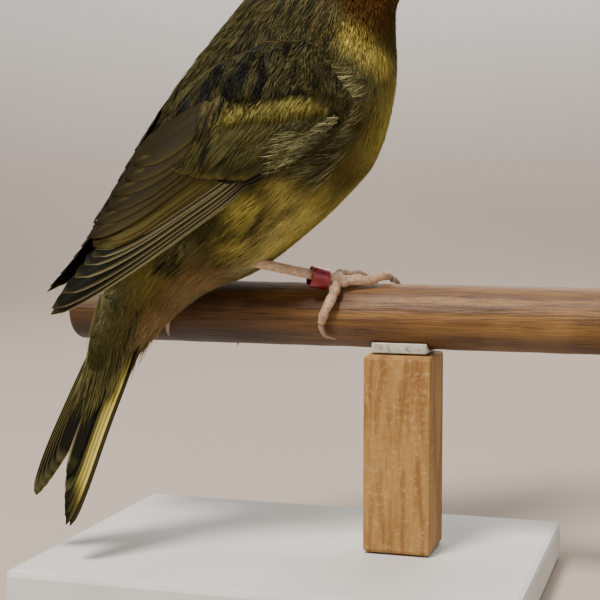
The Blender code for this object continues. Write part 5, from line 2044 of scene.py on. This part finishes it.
# Each toe's places, then its claw's: along the perch from the foot, degrees from the perch's top, lift
TOES = {
    "right": {
        "hind": (
            ((1.7, -44, 0.4), (1.3, -60, 0.15), (0.0, -84, 0.1), (-0.7, -100, 0)),
            ((-0.2, -118, 0.3), (1.8, -128, 0)),
        ),
        "inner": (
            ((1.4, -14, 0.3), (1.6, 10, 0.2), (2.0, 32, 0.1), (2.2, 50, 0)),
            ((2.5, 72, 0.3), (2.5, 92, 0)),
        ),
        "middle": (
            ((2.0, -16, 0.2), (4.2, 4, 0.2), (6.0, 26, 0.1), (7.4, 50, 0)),
            ((8.0, 70, 0.3), (8.3, 90, 0)),
        ),
        "outer": (
            ((2.4, -33, 0.4), (5.0, -27, 0.4), (7.8, -23, 0), (9.8, -7, 0.2), (11.0, 12, 0)),
            ((12.0, 30, 0.3), (12.6, 48, 0)),
        ),
    },
    "left": {
        "hind": (
            ((1.5, -40, 0.4), (0.7, -58, 0.15), (-0.8, -82, 0.1), (-1.8, -98, 0)),
            ((-2.4, -116, 0.3), (-2.6, -132, 0)),
        ),
        "inner": (
            ((3.0, -8, 0.4), (5.6, 20, 0.3), (8.0, 52, 0.1), (9.4, 84, 0)),
            ((9.6, 116, 0.6), (8.4, 148, 1.6)),
        ),
        "middle": (
            ((2.0, -8, 0.4), (3.0, 16, 0.3), (4.0, 44, 0.1), (4.6, 72, 0)),
            ((4.8, 92, 0.3), (4.9, 112, 0)),
        ),
        "outer": (
            ((0.8, -4, 0.3), (0.5, 16, 0.2), (0.2, 38, 0.1), (-0.2, 62, 0)),
            ((-0.5, 82, 0.3), (-0.9, 100, 0)),
        ),
    },
}


def toe_radius(steps):
    """The size of a toe round its length: plates on top, pads below, swellings at the joints."""
    joints = len(steps)

    def radius(t, angle):
        size = TOE_RADIUS * (1.1 - 0.34 * t)
        size *= 1 + 0.09 * math.cos(2 * math.pi * t * joints)
        above = max(math.cos(angle), 0.0) ** 0.6
        below = max(-math.cos(angle), 0.0) ** 0.8
        pads = 0.10 * abs(math.sin(math.pi * t * joints * 1.5))
        end = min((1 - t) / 0.06, 1.0) ** 0.5 if t > 0.94 else 1.0
        return (size - 0.08 + plates(t, 4 * joints, 0.15) * above + pads * below) * max(end, 0.25)

    return radius


def make_foot(side, palm, start):
    """The palm's pad and four toes as one piece, and the claws as pieces of their own."""
    foot = bmesh.new()
    pad = bmesh.new()
    bmesh.ops.create_uvsphere(pad, u_segments=28, v_segments=18, radius=1.55 * MM)
    pad.verts.layers.float_vector.new("tube")
    bmesh.ops.translate(pad, verts=pad.verts, vec=Vector(palm * MM))
    add_form(foot, pad)
    out = PERCH_RADIUS + 0.3
    for toe, (steps, claw) in TOES[side].items():
        rows = np.array([(start + x, angle, out + lift + TOE_RADIUS * 1.05) for x, angle, lift in steps])
        path = smooth_rows(rows, np.linspace(0, len(rows) - 1, 70))
        centres = round_perch(path[:, 0], path[:, 1], path[:, 2])
        reach = np.linspace(0, 1, 12)[:-1, None]
        centres = np.concatenate((palm + (centres[0] - palm) * reach, centres))
        above = centres - PERCH_AXIS
        above[:, 0] = 0
        add_form(foot, swept(centres, toe_radius(steps), above))
        (x0, angle0, _), (x1, angle1, _) = steps[-2:]
        turn = CLAW_GAP_TURN if angle1 > angle0 else -CLAW_GAP_TURN
        root = (x1 + (x1 - x0) * turn / (angle1 - angle0), angle1 + turn * 0.2, 0.35)
        rows = np.array([(start + x, angle, out + CLAW_RADIUS + lift) for x, angle, lift in (root, *claw)])
        path = smooth_rows(rows, np.linspace(0, 2, 36))
        centres = round_perch(path[:, 0], path[:, 1], path[:, 2])
        above = centres - PERCH_AXIS
        above[:, 0] = 0

        def radius(t, angle):
            size = CLAW_RADIUS * (1.3 - 1.1 * t**1.3) * (1 + 0.14 * math.cos(2 * angle))
            return size * min((1 - t) / 0.05 + 0.1, 1.0)

        nail = swept(centres, radius, above, sides=16)
        piece = form_piece(f"nail_{toe}_{side}", nail, claw_horn, sharp=70)
        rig.ride(piece, "root")
        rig.replaces(piece, f"claw_{toe}_{side}")
        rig.slot(piece, "claw_horn")
    mesh = bpy.data.meshes.new("scaled_foot_" + side)
    foot.to_mesh(mesh)
    foot.free()
    mesh.shade_smooth()
    mesh.materials.append(leg_skin)
    piece = bpy.data.objects.new(mesh.name, mesh)
    bpy.context.scene.collection.objects.link(piece)
    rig.ride(piece, "root")
    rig.replaces(piece, "foot_" + side)
    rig.slot(piece, "leg_skin")
    print(piece.name + ":", triangles(piece), "triangles")


make_foot("right", RIGHT_PALM, 0.0)
make_foot("left", LEFT_PALM, LEFT_FOOT)

# %% [markdown]
# ## The leg ring
# A closed ring of thin coloured metal is slipped over a young bird's foot. Its wall is a few tenths of a
# millimetre. The section is a small bevelled rectangle spun round the shank.

# %% Spin the ring
RING_INNER = 1.75
RING_OUTER = 2.15
RING_LENGTH = 3.5
RING_BEFORE_PALM = 2.1
RING_SAG = 0.42

ring_finish = Finish("ring_enamel", roughness=0.3, metallic=0.55, Coat_Weight=0.4, Coat_Roughness=0.15)
ring_place = ring_finish.place()
ring_wear = ring_finish.noise(ring_place, 1500.0, 5.0)
ring_dirt = ring_finish.noise(ring_place, 500.0, 3.0)
ring_colour = ring_finish.mix((0.27, 0.010, 0.018), (0.12, 0.003, 0.007), ring_dirt.ramp(0.4, 0.7))
ring_colour = ring_finish.mix(ring_colour, (0.62, 0.30, 0.30), (ring_wear.ramp(0.68, 0.78) * 0.6).kept())
ring_metal = ring_finish.paint(ring_colour, (ring_wear * 0.35 + 0.15).kept(), ring_wear, depth=0.00003)

run = unit(RIGHT_PALM - RIGHT_ANKLE)
aside = unit(np.cross(np.array((0.0, 0.0, 1.0)), run))
over = np.cross(run, aside)
middle = RIGHT_PALM - run * (RING_LENGTH / 2 + RING_BEFORE_PALM) - over * RING_SAG
form = bmesh.new()
ring_half = RING_LENGTH / 2
inner = ((-ring_half, RING_INNER), (ring_half, RING_INNER))
outer = ((ring_half, RING_OUTER), (-ring_half, RING_OUTER))
corners = [form.verts.new(Vector((middle + run * a + aside * r) * MM)) for a, r in inner + outer]
section = form.faces.new(corners)
bmesh.ops.delete(form, geom=[section], context="FACES_ONLY")
spin_round(form, middle * MM, run, 72)


def is_hoop(edge):
    """Whether an edge runs round one of the ring's ends."""
    start, end = (vertex.co for vertex in edge.verts)
    level = abs((start - end).normalized().dot(Vector(run))) < 0.01
    at_end = abs((start - Vector(middle * MM)).dot(Vector(run))) > 0.45 * RING_LENGTH * MM
    return level and at_end and (start - end).length < 0.25 * MM


hoops = [edge for edge in form.edges if is_hoop(edge)]
bmesh.ops.bevel(form, geom=hoops, offset=0.07 * MM, segments=3, profile=0.5, affect="EDGES", material=-1)
ring = form_piece("ring_metal", form, ring_metal, sharp=50)
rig.ride(ring, "root")
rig.replaces(ring, "leg_ring")
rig.slot(ring, "ring")
print("ring:", triangles(ring), "triangles")

# %% [markdown]
# ## Perch and stand
# The perch is an old round rod of brown wood, gripped and scraped for years: the grain runs along it, and its skin has
# shallow dents. Its underside is painted darker as painted shade, and its left part, under the bird, darker still as a
# painted shadow of the bird. The post is a sawn stick with a rough, sandy face.
# A lump of old glue holds one on the other, and the plain painted base only keeps the model standing.

# %% Wood of the perch
PERCH_LEFT = -56.3
PERCH_RIGHT = 58.0
PERCH_END_ROUND = 1.6

perch_finish = Finish("perch_wood", roughness=0.5, Specular_IOR_Level=0.45)
grain_place = perch_finish.place(scale=(1, 14, 14))
long_grain = perch_finish.noise(grain_place, 34.0, 5.0, 0.65)
fine_grain = perch_finish.noise(perch_finish.place(scale=(1, 22, 22)), 120.0, 4.0, 0.6)
patchy = perch_finish.noise(perch_finish.place(), 55.0, 3.0)
split = perch_finish.add("ShaderNodeSeparateXYZ", {}, {0: perch_finish.place()})
height_up = Field(perch_finish, split.outputs[2])
along_x = Field(perch_finish, split.outputs[0])
wood = perch_finish.mix((0.21, 0.098, 0.018), (0.10, 0.038, 0.007), long_grain.ramp(0.38, 0.62))
wood = perch_finish.mix(wood, (0.03, 0.009, 0.002), (fine_grain.ramp(0.54, 0.7) * 0.75).kept())
wood = perch_finish.mix(wood, (0.33, 0.18, 0.05), (patchy.ramp(0.56, 0.72) * 0.5).kept())
# Painted shade: the underside is darkened, and the left part of the rod, under the bird, gets a painted shadow of the
# bird.
under = (height_up * -1000.0).ramp(-54.0, -49.0)
painted_bird_shadow = (along_x * 1000.0).ramp(4.0, -14.0)
wood = perch_finish.mix(wood, (0.032, 0.011, 0.002), (under * 0.5 + painted_bird_shadow * 0.62).kept())
wood_rough = (fine_grain * 0.3 + patchy * 0.15 + 0.28).kept()
perch_wood = perch_finish.paint(wood, wood_rough, long_grain * 0.6 + fine_grain * 0.5, depth=0.00035)

form = bmesh.new()
radius = PERCH_RADIUS * MM
length = (PERCH_RIGHT - PERCH_LEFT) * MM
bmesh.ops.create_cone(form, cap_ends=True, segments=96, radius1=radius, radius2=radius, depth=length)
rims = [edge for edge in form.edges if abs(edge.verts[0].co.z - edge.verts[1].co.z) < 1e-6]
rounding = PERCH_END_ROUND * MM
bmesh.ops.bevel(form, geom=rims, offset=rounding, segments=6, profile=0.5, affect="EDGES", material=-1)
long_edges = [edge for edge in form.edges if edge.calc_length() > 40 * MM]
bmesh.ops.subdivide_edges(form, edges=long_edges, cuts=90, use_grid_fill=True)
draw = np.random.default_rng(61)
WAVES = 14
FULL_TURN = 6.28
waves = []
for _ in range(WAVES):
    pace = draw.uniform(20, 160)
    folds = draw.integers(1, 7)
    waves.append((pace, folds, draw.uniform(0, FULL_TURN), draw.uniform(0.2, 1.0)))
for vertex in form.verts:
    x, y, z = vertex.co
    angle = math.atan2(y, x)
    dent = sum(w * math.sin(a * z * FULL_TURN + b * angle + c) for a, b, c, w in waves) / WAVES
    radial = math.hypot(x, y) / (PERCH_RADIUS * MM)
    vertex.co = Vector((z, y * (1 + 0.02 * dent * radial), x * (1 + 0.02 * dent * radial)))
centre = PERCH_AXIS + np.array(((PERCH_LEFT + PERCH_RIGHT) / 2, 0, 0))
bmesh.ops.translate(form, verts=form.verts, vec=Vector(centre * MM))
perch = form_piece("perch_rod", form, perch_wood, sharp=60)
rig.ride(perch, "root")
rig.replaces(perch, "perch")
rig.slot(perch, "perch_wood")
print("perch:", triangles(perch), "triangles")

# %% [markdown]
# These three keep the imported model's own meshes, as they are plain already. Only their finishes are new.

# %% Post, glue and base
post_finish = Finish("post_wood", roughness=0.75, Specular_IOR_Level=0.3)
post_place = post_finish.place()
post_grain = post_finish.noise(post_finish.place(scale=(9, 9, 1)), 60.0, 4.0, 0.6)
post_sand = post_finish.noise(post_place, 900.0, 4.0, 0.7)
post_patch = post_finish.noise(post_place, 95.0, 4.0, 0.6)
post_colour = post_finish.mix((0.36, 0.19, 0.055), (0.22, 0.10, 0.025), post_grain.ramp(0.4, 0.65))
post_colour = post_finish.mix(post_colour, (0.52, 0.33, 0.13), (post_sand.ramp(0.5, 0.75) * 0.6).kept())
post_colour = post_finish.mix(post_colour, (0.72, 0.62, 0.50), (post_patch.ramp(0.64, 0.72) * 0.8).kept())
post_height = post_sand * 0.8 + post_grain
post_wood = post_finish.paint(post_colour, (post_sand * 0.3 + 0.55).kept(), post_height, depth=0.0003)

base_finish = Finish("base_paint", roughness=0.55)
base_noise = base_finish.noise(base_finish.place(), 1400.0, 3.0)
base_patch = base_finish.noise(base_finish.place(), 40.0, 2.0)
base_colour = base_finish.mix((0.66, 0.635, 0.60), (0.60, 0.575, 0.54), base_patch.ramp(0.4, 0.65))
base_paint = base_finish.paint(base_colour, (base_patch * 0.2 + 0.45).kept(), base_noise, depth=0.00003)

glue_finish = Finish(
    "glue",
    roughness=0.35,
    Subsurface_Weight=0.2,
    Subsurface_Radius=(0.8, 0.7, 0.5),
    Subsurface_Scale=0.001,
)
glue_noise = glue_finish.noise(glue_finish.place(), 700.0, 4.0)
glue_colour = glue_finish.mix((0.50, 0.48, 0.40), (0.24, 0.21, 0.16), glue_noise.ramp(0.45, 0.7))
glue = glue_finish.paint(glue_colour, (glue_noise * 0.3 + 0.2).kept(), glue_noise, depth=0.0001)

for name, material in (("stand_post", post_wood), ("stand_base", base_paint), ("stand_glue", glue)):
    nodes[name].data.materials[0] = material
print("stand finished")

# %% [markdown]
# ## The floor and the wall
# Behind the bird is a pale wall or cloth. A sheet that runs over the table and curves up the wall gives a soft ground.
# Low down it is painted a darker warm brown as painted shade, and it turns pale up the wall. It is one line of points,
# drawn sideways into a sheet.

# %% Sweep the backdrop
FLOOR_FRONT = 3.5
FLOOR_HALF = 3.5
COVE_BACK = 0.75
COVE_ROUND = 0.45
COVE_STEPS = 12
COVE_TOP = 2.2
form = bmesh.new()
profile = [(-FLOOR_FRONT, 0.0), (COVE_BACK, 0.0)]
for k in range(1, COVE_STEPS + 1):
    turn = math.pi / 2 * k / COVE_STEPS
    profile.append((COVE_BACK + COVE_ROUND * math.sin(turn), COVE_ROUND * (1 - math.cos(turn))))
profile.append((COVE_BACK + COVE_ROUND, COVE_TOP))
right = np.array((math.cos(math.radians(CAMERA_TURN)), math.sin(math.radians(CAMERA_TURN))))
away = np.array((-right[1], right[0]))
line = [form.verts.new((*(away * y - right * FLOOR_HALF), z)) for y, z in profile]
edges = [form.edges.new(pair) for pair in zip(line, line[1:])]
swept_out = bmesh.ops.extrude_edge_only(form, edges=edges)
moved = [item for item in swept_out["geom"] if isinstance(item, bmesh.types.BMVert)]
bmesh.ops.translate(form, verts=moved, vec=(*(right * FLOOR_HALF * 2), 0))
bmesh.ops.reverse_faces(form, faces=[face for face in form.faces if face.normal.z < -0.01])
mesh = bpy.data.meshes.new("floor")
form.to_mesh(mesh)
form.free()
mesh.shade_smooth()
floor_finish = Finish("floor_paint", roughness=0.9)
floor_place = floor_finish.place()
rise = floor_finish.add("ShaderNodeSeparateXYZ", {}, {0: floor_place}).outputs[2]
# Painted shade: the floor is a darker warm brown that turns pale up the wall.
backdrop_with_painted_shade = floor_finish.mix((0.43, 0.355, 0.29), (0.93, 0.91, 0.895), Field(floor_finish, rise).ramp(0.0, 0.45))
backdrop_with_painted_shade = floor_finish.scaled(backdrop_with_painted_shade, floor_finish.noise(floor_place, 3.0) * 0.16 + 0.92)
mesh.materials.append(floor_finish.paint(backdrop_with_painted_shade))
floor = bpy.data.objects.new("floor", mesh)
bpy.context.scene.collection.objects.link(floor)
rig.stage(floor)
print("backdrop:", len(floor.data.polygons), "faces")

# %% [markdown]
# ## Sizes and the hand-over
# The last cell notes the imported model's box and the dressed model's, and hands the scene over.

# %% Finish
with open("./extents.json", "w") as file:
    json.dump({"cad": cad_box, "visual": [list(corner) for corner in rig.bounds()]}, file)
print(open("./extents.json").read())
